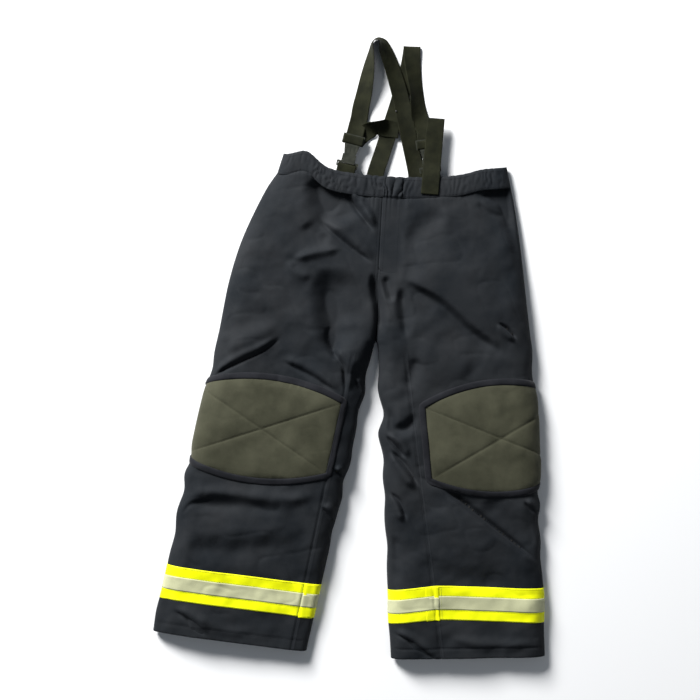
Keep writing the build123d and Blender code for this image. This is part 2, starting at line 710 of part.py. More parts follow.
def brace_nodes():
    lap = WEBBING + LAP
    low_strap = back_strap(LEFT_BACK, 0)
    high_strap = back_strap(RIGHT_BACK, lap)
    cross = cross_place()
    tack_hole = Pos(cross.X, cross.Y, 0) * Cylinder(TACK_RADIUS, 4 * lap)
    tack = tack_hole & block((-BIG, -BIG, 0), (BIG, BIG, lap + WEBBING))
    tack = tack + Pos(cross.X, cross.Y, lap + WEBBING + EASE) * Cylinder(2 * TACK_RADIUS, 2 * EASE)

    low_stays, low_folds = at_fold(low_strap)
    high_stays, high_folds = at_fold(high_strap)
    heading, length = heading_to(LEFT_BACK[1], LEFT_FRONT_END)
    left_front = webbing(LEFT_BACK[1], heading, [(0, lap + WEBBING / 2), (length, lap + WEBBING / 2)])
    top = Vector(*LEFT_BACK[1])
    down = (Vector(*LEFT_BACK[0]) - top).normalized() * WEBBING
    left_turn = prism(offset_path([tuple(top)[:2], tuple(top + down)[:2]], WEBBING_WIDTH / 2), 0,
                      lap + WEBBING)

    loop = prism(offset_path(RIGHT_LOOP[1:], WEBBING / 2), 0, WEBBING_WIDTH * 0.95)
    approach, reach = heading_to(RIGHT_LOOP[0], RIGHT_LOOP[1])
    loop = loop + webbing(
        RIGHT_LOOP[0], approach, [(-RIGHT_OVERLAP, WEBBING / 2), (reach, WEBBING / 2)]
    )

    tail_start, tail_top = LEFT_TAIL
    tail_heading, tail_length = heading_to(tail_start, tail_top)
    clear = CLASP_HEIGHT + FRAME_THICKNESS / 2 + WEBBING + EASE + LAP + WEBBING / 2
    on_front = front_height(tail_start[1]) + EASE + WEBBING / 2
    at_edge = front_height(BRACE_FOLD) + EASE + WEBBING / 2
    edge = BRACE_FOLD - tail_start[1]
    tail_profile = [
        (0, on_front), (edge, at_edge), (edge + BAR, clear), (tail_length, clear),
        (tail_length, clear - 3 * lap), (tail_length - WEBBING_WIDTH / 4, clear - 3 * lap),
    ]
    tail_stays, tail_folds = at_fold(webbing(tail_start, tail_heading, tail_profile))

    stays = low_stays + high_stays + tail_stays
    tabs = [webbing(CLASP_BAR[side], CLASP_HEADING[side], tab_profile(side)) for side in SIDE]
    tab_stays, tab_folds = zip(*(at_fold(tab) for tab in tabs))
    return {
        "strap_anchors": stays + tab_stays[0] + tab_stays[1],
        "left_brace": (low_folds + left_turn + left_front) - tack_hole,
        "right_brace": (high_folds + loop) - tack_hole,
        "cross_tack": tack,
        "left_strap_tail": tail_folds,
        "clasp_tabs": tab_folds[0] + tab_folds[1],
    }


def clasp_nodes(side):
    place = clasp_plane(side)
    lap = WEBBING + LAP
    low = (WEBBING if side == "right" else lap + WEBBING) + LAP + WEBBING / 2 - CLASP_HEIGHT
    beside = FRAME_THICKNESS / 2 + EASE + WEBBING / 2
    length = RIGHT_FRONT_LENGTH if side == "right" else LEFT_FRONT_LENGTH
    frame_end = CLASP_BODY_END + 3 * BAR + 2 * SLOT_WIDTH
    far = [(length, low), (frame_end + WEBBING_WIDTH, low), (frame_end + BAR, -beside)]
    strap = webbing(
        CLASP_BAR[side], CLASP_HEADING[side], strap_through_adjuster(WEBBING_WIDTH * 0.4, far)
    )
    nodes = {
        f"{side}_receiver": place * receiver(),
        f"{side}_clasp_body": place * clasp_body(),
        f"{side}_clasp_strap": strap,
    }
    if side == "right":
        edge = prism(offset_path(RIGHT_TAIL, WEBBING / 2), *RIGHT_TAIL_EDGES)
        nodes["right_strap_tail"] = edge - half_space(1, RIGHT_TAIL_START, False)
    for name, sign in (("inner_prong", -SIDE[side]), ("outer_prong", SIDE[side])):
        nodes[f"{side}_{name}"] = place * prong(-sign)
    return nodes


# --- everything --------------------------------------------------------------------------------------------
def build():
    nodes = {**seat_nodes(), **waistband_nodes(), **fly_nodes(), **brace_nodes()}
    for side in SIDE:
        nodes.update(shin_nodes(side))
        nodes.update(knee_nodes(side))
        nodes.update(clasp_nodes(side))
    nodes = {name: solids_of(shape) for name, shape in nodes.items()}
    box = Compound([solid for shape in nodes.values() for solid in shape.solids()]).bounding_box()
    centre = box.center()
    move = (-centre.X, -centre.Y, -box.min.Z)
    return nodes, move


def main():
    nodes, move = build()
    os.makedirs("parts", exist_ok=True)
    for name, shape in nodes.items():
        export_step(Pos(*move) * shape, f"parts/{name}.step")


if __name__ == "__main__":
    main()
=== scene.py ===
"""Looks for the over-trousers: cloth, pads, trim, braces and stitching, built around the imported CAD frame.

Shapes are worked out in millimetres in the garment's own frame: the crotch is the zero point, +X goes to
the wearer's left, +Y to the waist and +Z up out of the front. to_row() moves them into the row frame.
"""

import math
from functools import partial

import bmesh
import bpy
import numpy as np
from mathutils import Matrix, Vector
from mathutils.bvhtree import BVHTree


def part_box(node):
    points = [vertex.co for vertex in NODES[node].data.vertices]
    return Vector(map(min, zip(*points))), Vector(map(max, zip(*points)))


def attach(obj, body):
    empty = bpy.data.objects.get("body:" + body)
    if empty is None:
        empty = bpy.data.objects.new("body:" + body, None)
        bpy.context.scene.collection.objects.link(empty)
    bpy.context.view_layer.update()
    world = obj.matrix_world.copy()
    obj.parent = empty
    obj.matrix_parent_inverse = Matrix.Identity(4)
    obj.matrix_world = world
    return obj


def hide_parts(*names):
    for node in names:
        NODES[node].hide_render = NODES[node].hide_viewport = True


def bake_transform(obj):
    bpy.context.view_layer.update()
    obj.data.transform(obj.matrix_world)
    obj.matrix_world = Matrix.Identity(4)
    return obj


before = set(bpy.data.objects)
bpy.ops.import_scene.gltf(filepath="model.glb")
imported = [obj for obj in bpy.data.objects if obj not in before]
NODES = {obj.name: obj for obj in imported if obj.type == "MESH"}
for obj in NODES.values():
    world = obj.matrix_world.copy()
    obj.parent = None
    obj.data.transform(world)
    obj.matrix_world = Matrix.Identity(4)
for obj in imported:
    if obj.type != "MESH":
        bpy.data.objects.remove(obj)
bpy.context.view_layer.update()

# --- sizes shared with the CAD model, in millimetres ---
RISE, BAND = 362.0, 45.0
WAIST_OFFSET, WAIST_HALF, WAIST_TAPER, WAIST_LIFT = 19.0, 258.0, 11.0, 40.0
LEG_WIDTH, KNEE_WIDTH, HEM_WIDTH, CROTCH_GAP = 340.0, 346.0, 340.0, 10.0
LEG_LENGTH, KNEE_LINE = 686.0, 212.0
SPLAY = {"right": 9.1, "left": 5.7}
SIDE = {"right": -1, "left": 1}
SLANT = 4.2
PAD_OFFSET = {"right": 31.0, "left": 90.0}
PAD_TURN = {"right": 0.0, "left": 3.0}
PAD_RISE = {"right": 1.0, "left": 8.0}
PAD_LENGTH = {"right": 220.0, "left": 236.0}
PAD_WIDTH, PAD_END = 322.0, 158.0
TRIM_LINE, TRIM_WIDTH, TRIM_SILVER = 573.8, 75.0, 30.0
INNER_SEAM = {"right": (42.0, 34.0), "left": (56.0, 110.0)}
TRIM_RISE = {"right": 0.0, "left": 11.5}
SEAM_Z = 9.0
FLY_FREE, FLY_LEFT, FLY_LOW = -4.0, 38.0, 152.0
CLASP_BAR = {"right": (-87.0, 380.0), "left": (98.0, 380.0)}
CLASP_HEADING = {"right": 11.0, "left": -11.0}

SHIFT = np.array(
    [
        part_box("left_front_panel")[0].x,
        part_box("zip_tapes")[1].y - (RISE - BAND) / 1000,
        0.0,
    ]
)


def to_row(points):
    return np.asarray(points, float) / 1000 + SHIFT


def row_point(x, y, z):
    return tuple(to_row([x, y, z]))


# --- small maths ---
def smoothstep(low, high, value):
    share = np.clip((np.asarray(value, float) - low) / (high - low), 0, 1)
    return share * share * (3 - 2 * share)


def lattice_noise(x, y, size, seed):
    """Smooth noise from -1 to 1 with one bump about every size millimetres."""
    table = np.random.default_rng(seed).uniform(-1, 1, (64, 64))
    u, v = np.asarray(x, float) / size + 1000.3, np.asarray(y, float) / size + 1000.7
    i, j = np.floor(u).astype(int), np.floor(v).astype(int)
    a, b = u - i, v - j
    a, b = a * a * a * (a * (a * 6 - 15) + 10), b * b * b * (b * (b * 6 - 15) + 10)
    pick = lambda p, q: table[p % 64, q % 64]
    low = pick(i, j) * (1 - a) + pick(i + 1, j) * a
    high = pick(i, j + 1) * (1 - a) + pick(i + 1, j + 1) * a
    return low * (1 - b) + high * b


def curve_through(points, count):
    """A smooth line through the points, with evenly spread samples."""
    pts = np.asarray(points, float)
    if len(pts) == 2:
        return pts[0] + (pts[1] - pts[0]) * np.linspace(0, 1, count)[:, None]
    ext = np.vstack([2 * pts[0] - pts[1], pts, 2 * pts[-1] - pts[-2]])
    dense = []
    for k in range(len(pts) - 1):
        p0, p1, p2, p3 = ext[k : k + 4]
        t = np.linspace(0, 1, 24, endpoint=False)[:, None]
        dense.append(
            0.5 * (2 * p1 + (p2 - p0) * t + (2 * p0 - 5 * p1 + 4 * p2 - p3) * t**2
                   + (3 * p1 - p0 - 3 * p2 + p3) * t**3)
        )
    dense = np.vstack(dense + [pts[-1:]])
    return resample(dense, count)


def resample(points, count):
    steps = np.linalg.norm(np.diff(points[:, :3], axis=0), axis=1)
    length = np.concatenate([[0], np.cumsum(steps)])
    at = np.linspace(0, length[-1], count)
    return np.stack([np.interp(at, length, points[:, k]) for k in range(points.shape[1])], 1)


# --- the garment's outline ---
def leg_point(side, down, out):
    """A point of a leg: down from the crotch line, and out from the leg's centre line."""
    sign, splay = SIDE[side], math.radians(SPLAY[side])
    down = down + out * math.tan(splay - math.radians(SLANT))
    x = sign * (CROTCH_GAP + LEG_WIDTH) / 2 + sign * (math.sin(splay) * down + math.cos(splay) * out)
    y = -math.cos(splay) * down + math.sin(splay) * out
    return np.stack([x + 0 * y, y + 0 * x], -1)


# bumps of each leg's outer and inner edge: (distance down the leg, outwards, half length)
OUTER_BUMPS = {
    "right": [(95, -5, 22), (300, -4, 20), (332, 6, 18), (372, -3, 16), (420, 4, 26), (470, -3, 24),
              (640, 3, 30)],
    "left": [(60, -4, 30), (330, -5, 16), (352, 4, 14), (390, -5, 24), (470, -3, 20), (560, 3, 40)],
}
INNER_BUMPS = {
    "right": [(60, -4, 24), (105, 4, 12), (150, -4, 18), (260, 4, 20), (305, -4, 14), (345, 3, 16),
              (420, -3, 20)],
    "left": [(90, 4, 20), (150, -9, 26), (190, 7, 20), (250, -5, 22), (330, -4, 26), (440, -4, 30),
             (600, 2, 30)],
}


def bumps(table, down):
    down = np.asarray(down, float)
    total = 0 * down
    for place, height, half in table:
        total = total + height * np.exp(-(((down - place) / half) ** 2))
    return total


def half_width(down):
    return np.interp(down, [0, KNEE_LINE, LEG_LENGTH], [LEG_WIDTH / 2, KNEE_WIDTH / 2, HEM_WIDTH / 2])


SEAT_OUTER = {
    "right": [(239, 357), (266, 306), (308, 204), (331, 115), (342, 40), (345, 17)],
    "left": [(277, 357), (294, 284), (311, 197), (326, 109), (338, 40), (342, 15)],
}
SEAT_ROWS, LEG_ROWS = 110, 220


def edges(side):
    """Outer and inner edge points of every row, from the waistband's lower edge to the hem."""
    sign = SIDE[side]
    outer = curve_through(SEAT_OUTER[side], SEAT_ROWS + 1)[:-1] * (sign, 1)
    inner = np.stack([np.zeros(SEAT_ROWS), np.linspace(RISE - BAND, 6, SEAT_ROWS)], 1)
    down = np.linspace(0, LEG_LENGTH, LEG_ROWS + 1)
    ease = smoothstep(0, 60, down) * (1 - smoothstep(LEG_LENGTH - 20, LEG_LENGTH, down) * 0.6)
    leg_out = leg_point(side, down, half_width(down) + ease * bumps(OUTER_BUMPS[side], down))
    leg_in = leg_point(side, down, -half_width(down) - ease * bumps(INNER_BUMPS[side], down))
    outer, inner = np.vstack([outer, leg_out]), np.vstack([inner, leg_in])
    kernel = np.ones(9) / 9
    for line in (outer, inner):
        for k in (0, 1):
            line[4:-4, k] = np.convolve(line[:, k], kernel, "valid")
    inner[:SEAT_ROWS, 0] = 0
    return outer, inner


EDGES = {side: edges(side) for side in SIDE}
RING_ROWS = np.arange(SEAT_ROWS + LEG_ROWS + 1, dtype=float)


def row_of(down):
    return SEAT_ROWS + np.asarray(down, float) / LEG_LENGTH * LEG_ROWS


def waist_lift(x):
    """How much higher the waistband is at x than at the middle."""
    corner = np.where(x < 0, WAIST_HALF - WAIST_OFFSET, WAIST_HALF + WAIST_OFFSET)
    lump = 25 * np.exp(-(((x + 177) / 33) ** 2)) + 6 * np.exp(-(((x - 212) / 34) ** 2))
    return WAIST_LIFT * (np.abs(x) / corner) ** 2.2 + lump


def front_height(y):
    """The front's height above the surface it lies on, before any folds."""
    return np.interp(y, [-704, -340, 100, 402], [30, 40, 40, 21])


# --- folds ---
# kind, height, half width and path of each fold of the front: a rise, a dip, a drop to a lower level, a step
# with a hollow before it, a tuck with a sharp line, or a lap of one layer over another
FOLD_GAIN = 1.6
FOLDS = [
    ("lap", 8.0, 9, [(-96, 338), (-56, 290), (-16, 240)]),
    ("lap", 6.0, 11, [(-142, 262), (-86, 220), (-12, 169)]),
    ("drop", 11.0, 19, [(-164, 360), (-156, 310), (-146, 268), (-134, 226)]),
    ("dip", 6.0, 20, [(-156, 350), (-134, 306), (-104, 270)]),
    ("dip", 4.0, 15, [(-172, 250), (-150, 226), (-110, 214)]),
    ("rise", 5.0, 8, [(-192, 168), (-140, 186), (-86, 196)]),
    ("rise", 3.0, 9, [(-190, 168), (-196, 150), (-182, 138), (-146, 132)]),
    ("drop", 12.0, 18, [(-134, 156), (-128, 90), (-116, 25), (-100, -44)]),
    ("dip", 5.0, 18, [(-116, 120), (-104, 70), (-96, 6), (-82, -46)]),
    ("dip", 9.0, 7, [(-106, 26), (-97, -12), (-84, -50)]),
    ("dip", 11.0, 8, [(-18, 150), (-8, 112), (2, 74), (11, 12)]),
    ("dip", 6.0, 8, [(12, 146), (22, 112), (30, 84)]),
    ("step", 13.0, 15, [(48, 138), (96, 118), (142, 94), (214, 36), (286, -10)]),
    ("lap", -7.0, 6, [(262, 54), (284, 40), (306, 20)]),
    ("drop", 13.0, 15, [(192, 334), (238, 318), (272, 284), (296, 232), (314, 150)]),
    ("dip", 7.0, 10, [(48, 122), (52, 90), (60, 44), (66, 4)]),
    ("dip", 5.0, 20, [(136, 292), (96, 262), (50, 216)]),
    ("rise", 4.0, 42, [(60, 170), (150, 170), (270, 136)]),
    ("rise", 4.0, 24, [(90, -10), (150, -30), (220, -50)]),
    ("dip", 5.0, 12, [(92, -30), (84, -70), (70, -104)]),
    ("lap", 3.0, 14, [(206, 322), (230, 304), (268, 292)]),
    ("lap", 5.0, 7, [(-362, -104), (-330, -80), (-290, -56), (-246, -32), (-206, 0)]),
    ("rise", 5.0, 20, [(-330, -40), (-280, -10), (-210, 20)]),
    ("lap", 5.0, 9, [(-205, -52), (-130, -84), (-70, -122)]),
    ("lap", 7.0, 8, [(-97, -22), (-76, -45), (-63, -66), (-59, -118)]),
    ("lap", 6.0, 6, [(-42, -84), (-28, -104), (-14, -122)]),
    ("rise", 5.0, 22, [(-60, 60), (-52, -20), (-36, -80)]),
    ("lap", 6.0, 6, [(-76, -282), (-60, -298), (-46, -310)]),
    ("lap", 5.0, 7, [(-98, -366), (-80, -384), (-66, -408)]),
    ("rise", 4.5, 11, [(-392, -346), (-300, -352), (-180, -356), (-100, -342)]),
    ("dip", 4.0, 13, [(-398, -384), (-300, -376), (-170, -384)]),
    ("lap", 2.4, 10, [(-406, -404), (-385, -376), (-330, -364)]),
    ("dip", 4.0, 22, [(-400, -470), (-300, -480), (-150, -450)]),
    ("rise", 3.0, 24, [(-390, -440), (-280, -440), (-130, -420)]),
    ("lap", 4.5, 9, [(-410, -612), (-372, -632), (-330, -668)]),
    ("rise", 3.0, 10, [(-366, -620), (-300, -650), (-230, -655)]),
    ("dip", 7.0, 10, [(34, -142), (48, -186), (78, -186), (98, -150)]),
    ("lap", 7.0, 8, [(34, -203), (60, -226), (84, -254)]),
    ("lap", -8.0, 9, [(44, -238), (78, -272), (112, -318)]),
    ("lap", -6.0, 8, [(46, -330), (70, -352), (88, -392)]),
    ("tuck", 14.0, 22, [(104, -290), (140, -304), (193, -332), (292, -402), (392, -470)]),
    ("rise", 4.0, 26, [(140, -360), (210, -410), (300, -480)]),
    ("dip", 4.0, 20, [(250, -336), (320, -376), (382, -420)]),
    ("lap", 5.0, 7, [(344, -330), (368, -350), (384, -354)]),
    ("lap", 5.0, 7, [(70, -634), (104, -646), (140, -668), (184, -696)]),
    ("rise", 3.5, 9, [(200, -640), (280, -650), (390, -640)]),
    ("dip", 4.0, 18, [(110, -470), (200, -505), (330, -510)]),
    ("dip", 4.0, 16, [(64, -420), (70, -480), (76, -530)]),
]


def fold_shape(kind, height, d):
    """A fold's section: d is the distance from its line in half widths, positive on the left of its path."""
    if kind == "rise":
        return height * np.exp(-d * d)
    if kind == "dip":
        return -height * np.exp(-d * d)
    if kind == "tuck":
        step = 0.55 * smoothstep(-0.12, 0.12, d) * np.exp(-((np.maximum(d, 0) / 2.4) ** 2))
        return -height * (step + 0.5 * np.exp(-(((d - 0.04) / 0.25) ** 2)))
    d = d * math.copysign(1, height)
    if kind == "drop":
        return -abs(height) * smoothstep(-1.2, 1.2, d) * (1 - smoothstep(1.4, 6.5, d))
    if kind == "step":
        return abs(height) * (0.6 * np.exp(-((d - 1.0) / 2.2) ** 2) * smoothstep(-0.5, 0.5, d)
                              - 0.4 * np.exp(-(((d + 0.6) / 0.7) ** 2)))
    return 0.75 * abs(height) * (np.exp(-(((d - 0.9) / 0.95) ** 2)) - np.exp(-(((d + 0.35) / 0.42) ** 2)))


def fold_field(x, y):
    """The height of all the folds together."""
    total = np.zeros_like(x)
    for kind, height, half, path in FOLDS:
        line = curve_through(path, 26)
        near = (
            (x > line[:, 0].min() - 9 * half) & (x < line[:, 0].max() + 9 * half)
            & (y > line[:, 1].min() - 9 * half) & (y < line[:, 1].max() + 9 * half)
        )
        if not near.any():
            continue
        px, py = x[near], y[near]
        best = np.full(px.shape, 1e9)
        signed, along = np.zeros(px.shape), np.zeros(px.shape)
        for k, (a, b) in enumerate(zip(line, line[1:])):
            step = b - a
            share = np.clip(((px - a[0]) * step[0] + (py - a[1]) * step[1]) / (step @ step), 0, 1)
            reach = np.hypot(px - a[0] - share * step[0], py - a[1] - share * step[1])
            nearer = reach < best
            best = np.where(nearer, reach, best)
            side = np.sign(step[0] * (py - a[1]) - step[1] * (px - a[0]))
            signed = np.where(nearer, reach * side, signed)
            along = np.where(nearer, (k + share) / (len(line) - 1), along)
        taper = smoothstep(0, 0.22, along) * (1 - smoothstep(0.74, 1, along))
        wide = half * (0.7 + 0.6 * np.sin(along * math.pi))
        total[near] += FOLD_GAIN * fold_shape(kind, height, signed / wide) * taper
    return total


def pad_place(side, x, y):
    """Where a point lies on the knee pad: across and along it, -1 to 1 inside its box."""
    sign, splay = SIDE[side], math.radians(SPLAY[side])
    dx = sign * x - (CROTCH_GAP + LEG_WIDTH) / 2
    out = math.cos(splay) * dx + math.sin(splay) * y
    down = math.sin(splay) * dx - math.cos(splay) * y - out * math.tan(splay - math.radians(SLANT))
    return (out - PAD_OFFSET[side]) / (PAD_WIDTH / 2), (down - KNEE_LINE) / (PAD_LENGTH[side] / 2)


def gather(arc, height):
    """Puckers of elastic cloth, along the waist in millimetres."""
    lean = arc + 0.35 * height * lattice_noise(arc, 0 * arc, 60, 14)
    phase = lean / 17.0 + 1.3 * lattice_noise(lean, height * 1.4, 36, 11)
    phase = phase + 0.5 * lattice_noise(lean, height, 13, 12)
    ridge = np.abs(np.sin(phase * math.pi)) ** 0.65
    strength = 0.8 + 0.55 * lattice_noise(arc, height, 42, 13)
    return (ridge - 0.6) * strength


def gather_strength(x):
    centre = np.exp(-(((x - 8) / 72) ** 2))
    corner = np.exp(-(((x + 118) / 66) ** 2))
    return 1.6 + 3.4 * centre + 2.6 * corner + 0.5 * np.exp(-(((x - 210) / 40) ** 2))


def front_relief(side, x, y, under_fly=True):
    """How far the front's cloth stands above or below its plain height."""
    fly = (1 - smoothstep(0, 16, np.abs(x - 17) - 22)) * smoothstep(120, 165, y)
    across, along = pad_place(side, x, y)
    pad = (1 - smoothstep(0.92, 1.1, np.abs(across))) * (1 - smoothstep(0.85, 1.05, np.abs(along)))
    calm = (1 - 0.8 * fly) * (1 - 0.75 * pad)
    relief = fold_field(x, y)
    relief += 5.0 * lattice_noise(x, y * 0.7, 150, 21)
    relief += 3.0 * lattice_noise(x + 0.4 * y, y, 66, 22)
    relief += 1.5 * lattice_noise(x - 0.3 * y, y, 30, 23)
    relief -= 1.1 * (1 - np.abs(lattice_noise(x + 0.5 * y, y - 0.2 * x, 54, 25))) ** 6
    relief += 0.32 * lattice_noise(x, y, 12, 24)
    relief *= calm
    below = RISE - BAND + waist_lift(x) - y
    reach = 10 + 8 * np.exp(-(((x - 5) / 75) ** 2))
    pucker = np.exp(-np.clip(below, 0, None) / reach) * (1 - 0.55 * fly)
    relief += 1.5 * gather(x, 0 * x) * pucker * gather_strength(x) / 2
    relief -= 1.6 * np.exp(-np.clip(below, 0, None) / 2.5)
    seam = (1 - smoothstep(FLY_LOW - 6, FLY_LOW + 2, y)) * smoothstep(-5, 20, y)
    relief -= 1.5 * np.exp(-(((x - FLY_FREE * smoothstep(90, 140, y)) / 1.9) ** 2)) * seam
    out = across * PAD_WIDTH / 2 + PAD_OFFSET[side]
    down = along * PAD_LENGTH[side] / 2 + KNEE_LINE
    first, last = INNER_SEAM[side]
    from_seam = out + np.interp(down, [0, LEG_LENGTH], [LEG_WIDTH / 2 - first, HEM_WIDTH / 2 - last])
    below_crotch = smoothstep(10, 40, down)
    groove = 2.3 * np.exp(-((from_seam / 2.2) ** 2)) + 0.7 * (1 - smoothstep(-3, 3, from_seam))
    relief -= below_crotch * groove
    relief -= 1.3 * np.exp(-(((down - LEG_LENGTH + 22) / 2.2) ** 2))
    if under_fly:
        inside = (1 - smoothstep(0, 3.0, np.abs(x - 16) - 13.5)) * smoothstep(FLY_LOW + 0.5, FLY_LOW + 4.5, y)
        tucked = (1 - smoothstep(0, 3.0, np.abs(x - 13) - 16)) * smoothstep(FLY_LOW, FLY_LOW + 4.5, y)
        relief = relief - 5.0 * inside - 2.2 * tucked
    return relief


def dome(distance, radius):
    share = np.clip(1 - distance / radius, 0, 1)
    return np.sqrt(1 - share * share)


FRONT_COLUMNS, BACK_COLUMNS = 116, 46
OUTER_ROLL, INNER_ROLL = 46.0, 38.0  # how far in from each edge the front keeps rising
UNDER_OUTER, UNDER_INNER = 20.0, 18.0  # the same for the back, which lies on the floor
FLOOR_GAP = 1.6
FULL_HEIGHT, SPARE_HEIGHT = 45.0, 9.0  # folds are pressed flat above the first by at most the second
LINING_INSET, CUFF_INSET = 4.6, 3.4


def column_shares(count):
    even = np.linspace(0, 1, count)
    return 0.55 * even + 0.45 * (1 - np.cos(even * math.pi)) / 2


def ring(side, rows, inset=0.0, front=FRONT_COLUMNS, back=BACK_COLUMNS, relief=True):
    """Rows of the tube: the front from its inner to its outer edge, then the back, as (rows, columns, 3)."""
    rows = np.asarray(rows, float)
    outer_edge, inner_edge = EDGES[side]
    outer = np.stack([np.interp(rows, RING_ROWS, outer_edge[:, k]) for k in (0, 1)], -1)
    inner = np.stack([np.interp(rows, RING_ROWS, inner_edge[:, k]) for k in (0, 1)], -1)
    across = outer - inner
    width = np.linalg.norm(across, axis=1)
    unit = across / width[:, None]
    leg = smoothstep(SEAT_ROWS - 26, SEAT_ROWS + 2, rows)
    is_leg = (rows >= SEAT_ROWS)[:, None]
    outer = outer - unit * inset
    inner = inner + np.where(is_leg, unit * inset, 0)
    width = np.linalg.norm(outer - inner, axis=1)
    waist_fade = np.exp(-rows / 24)[:, None]

    def flat_points(share):
        points = inner[:, None] + (outer - inner)[:, None] * share[None, :, None]
        corner = WAIST_HALF + SIDE[side] * WAIST_OFFSET
        level = WAIST_LIFT * np.clip(np.abs(points[..., 0]) / corner, 0, 1)
        points[..., 1] += (waist_lift(points[..., 0]) - level) * waist_fade
        return points

    def heights(points, share):
        d_out = (1 - share)[None] * width[:, None]
        d_in = share[None] * width[:, None]
        hang = front_height(points[..., 1])
        swell = 3.0 * np.sin(share * math.pi)[None] * smoothstep(0, 40, rows)[:, None]
        extra = front_relief(side, points[..., 0], points[..., 1]) if relief else 0
        edge = dome(d_out, OUTER_ROLL) * (1 - leg[:, None] * (1 - dome(d_in, INNER_ROLL)))
        fade = smoothstep(0, 26, d_out + inset) * (1 - leg[:, None] * (1 - smoothstep(0, 22, d_in + inset)))
        base = SEAM_Z + (hang - SEAM_Z - inset + swell) * edge
        height = np.maximum(base + extra * fade, 0.35 * base + 2.5 - 0.3 * inset)
        pressed = FULL_HEIGHT + SPARE_HEIGHT * np.tanh((height - FULL_HEIGHT) / SPARE_HEIGHT)
        return np.where(height > FULL_HEIGHT, pressed, height)

    share = column_shares(front)
    front_points = flat_points(share)
    top = heights(front_points, share)
    share_back = column_shares(back)[::-1]
    back_points = flat_points(share_back)
    d_out = (1 - share_back)[None] * width[:, None]
    d_in = share_back[None] * width[:, None]
    tuck = dome(d_out, UNDER_OUTER) * (1 - leg[:, None] * (1 - dome(d_in, UNDER_INNER)))
    low = SEAM_Z * (1 - tuck) + (FLOOR_GAP + inset) * tuck
    low = np.maximum(low, 0.15)
    points = np.concatenate(
        [
            np.concatenate([front_points, top[..., None]], -1),
            np.concatenate([back_points, low[..., None]], -1)[:, 1:],
        ],
        axis=1,
    )
    return points


# --- building meshes ---
def grid_faces(rows, columns, closed=False, start=0):
    r, c = np.meshgrid(np.arange(rows - 1), np.arange(columns if closed else columns - 1), indexing="ij")
    nxt = (c + 1) % columns
    a = start + r * columns + c
    b = start + r * columns + nxt
    return np.stack([a, b, b + columns, a + columns], -1).reshape(-1, 4)


def make_object(name, points, faces, material, uv=None, merge=0.0):
    """A smooth mesh object from points in garment millimetres."""
    mesh = bpy.data.meshes.new(name)
    mesh.from_pydata(to_row(points).tolist(), [], [list(map(int, f)) for f in faces])
    if uv is not None:
        layer = mesh.uv_layers.new(name="cloth")
        index = np.zeros(len(mesh.loops), int)
        mesh.loops.foreach_get("vertex_index", index)
        layer.data.foreach_set("uv", (np.asarray(uv, float) / 1000)[index].ravel())
    if merge:
        work = bmesh.new()
        work.from_mesh(mesh)
        bmesh.ops.remove_doubles(work, verts=work.verts, dist=merge)
        work.to_mesh(mesh)
        work.free()
    mesh.validate()
    mesh.polygons.foreach_set("use_smooth", np.ones(len(mesh.polygons), bool))
    mesh.materials.append(material)
    obj = bpy.data.objects.new(name, mesh)
    bpy.context.scene.collection.objects.link(obj)
    return obj


def face_out(obj):
    """Turns the faces of a closed mesh outwards."""
    work = bmesh.new()
    work.from_mesh(obj.data)
    bmesh.ops.recalc_face_normals(work, faces=work.faces)
    work.to_mesh(obj.data)
    work.free()
    return obj


def surface_of(obj):
    """A tree of an object's faces, for finding what lies under a point."""
    return BVHTree.FromPolygons([v.co.copy() for v in obj.data.vertices],
                                [list(p.vertices) for p in obj.data.polygons])


def drop_on(tree, x, y):
    """Height in millimetres and slope of a surface straight below a point, or None beside it."""
    hit = tree.ray_cast(Vector(row_point(x, y, 400)), Vector((0, 0, -1)))
    if hit[0] is None:
        return None
    return hit[0].z * 1000, np.array(hit[1] if hit[1].z > 0 else -hit[1])


def settle(obj, body):
    """Gives a piece the body it moves with."""
    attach(obj, body)


def grid_uv(points):
    """Lengths across and along a grid of points, for a weave that follows the cloth."""
    across = np.linalg.norm(np.diff(points, axis=1), axis=2)
    u = np.concatenate([np.zeros((len(points), 1)), np.cumsum(across, 1)], 1)
    middle = points[:, points.shape[1] // 2]
    v = np.concatenate([[0], np.cumsum(np.linalg.norm(np.diff(middle, axis=0), axis=1))])
    v = np.repeat(v[:, None], points.shape[1], 1)
    return np.stack([u - u.mean(1, keepdims=True), v], -1).reshape(-1, 2)


def slab(name, top, bottom, material):
    """A closed sheet between two grids of the same size."""
    rows, columns = top.shape[:2]
    faces = [grid_faces(rows, columns), grid_faces(rows, columns, start=rows * columns)[:, ::-1]]
    index = np.arange(rows * columns).reshape(rows, columns)
    rim = np.concatenate([index[0, :-1], index[:-1, -1], index[-1, :0:-1], index[:0:-1, 0]])
    nxt = np.roll(rim, -1)
    off = rows * columns
    faces.append(np.stack([nxt, rim, rim + off, nxt + off], -1))
    points = np.vstack([top.reshape(-1, 3), bottom.reshape(-1, 3)])
    uv = np.vstack([grid_uv(top)] * 2)
    return face_out(make_object(name, points, np.vstack(faces), material, uv))


# --- materials ---
def shader(name, roughness, **values):
    material = bpy.data.materials.new(name)
    material.use_nodes = True
    tree = material.node_tree
    surface = tree.nodes["Principled BSDF"]
    surface.inputs["Roughness"].default_value = roughness
    for key, value in values.items():
        surface.inputs[key.replace("_", " ")].default_value = value
    return material, tree, surface


def add(tree, kind, inputs=None, **settings):
    node = tree.nodes.new(kind)
    for key, value in settings.items():
        setattr(node, key, value)
    for key, value in (inputs or {}).items():
        if isinstance(value, bpy.types.NodeSocket):
            tree.links.new(value, node.inputs[key])
        else:
            node.inputs[key].default_value = value
    return node


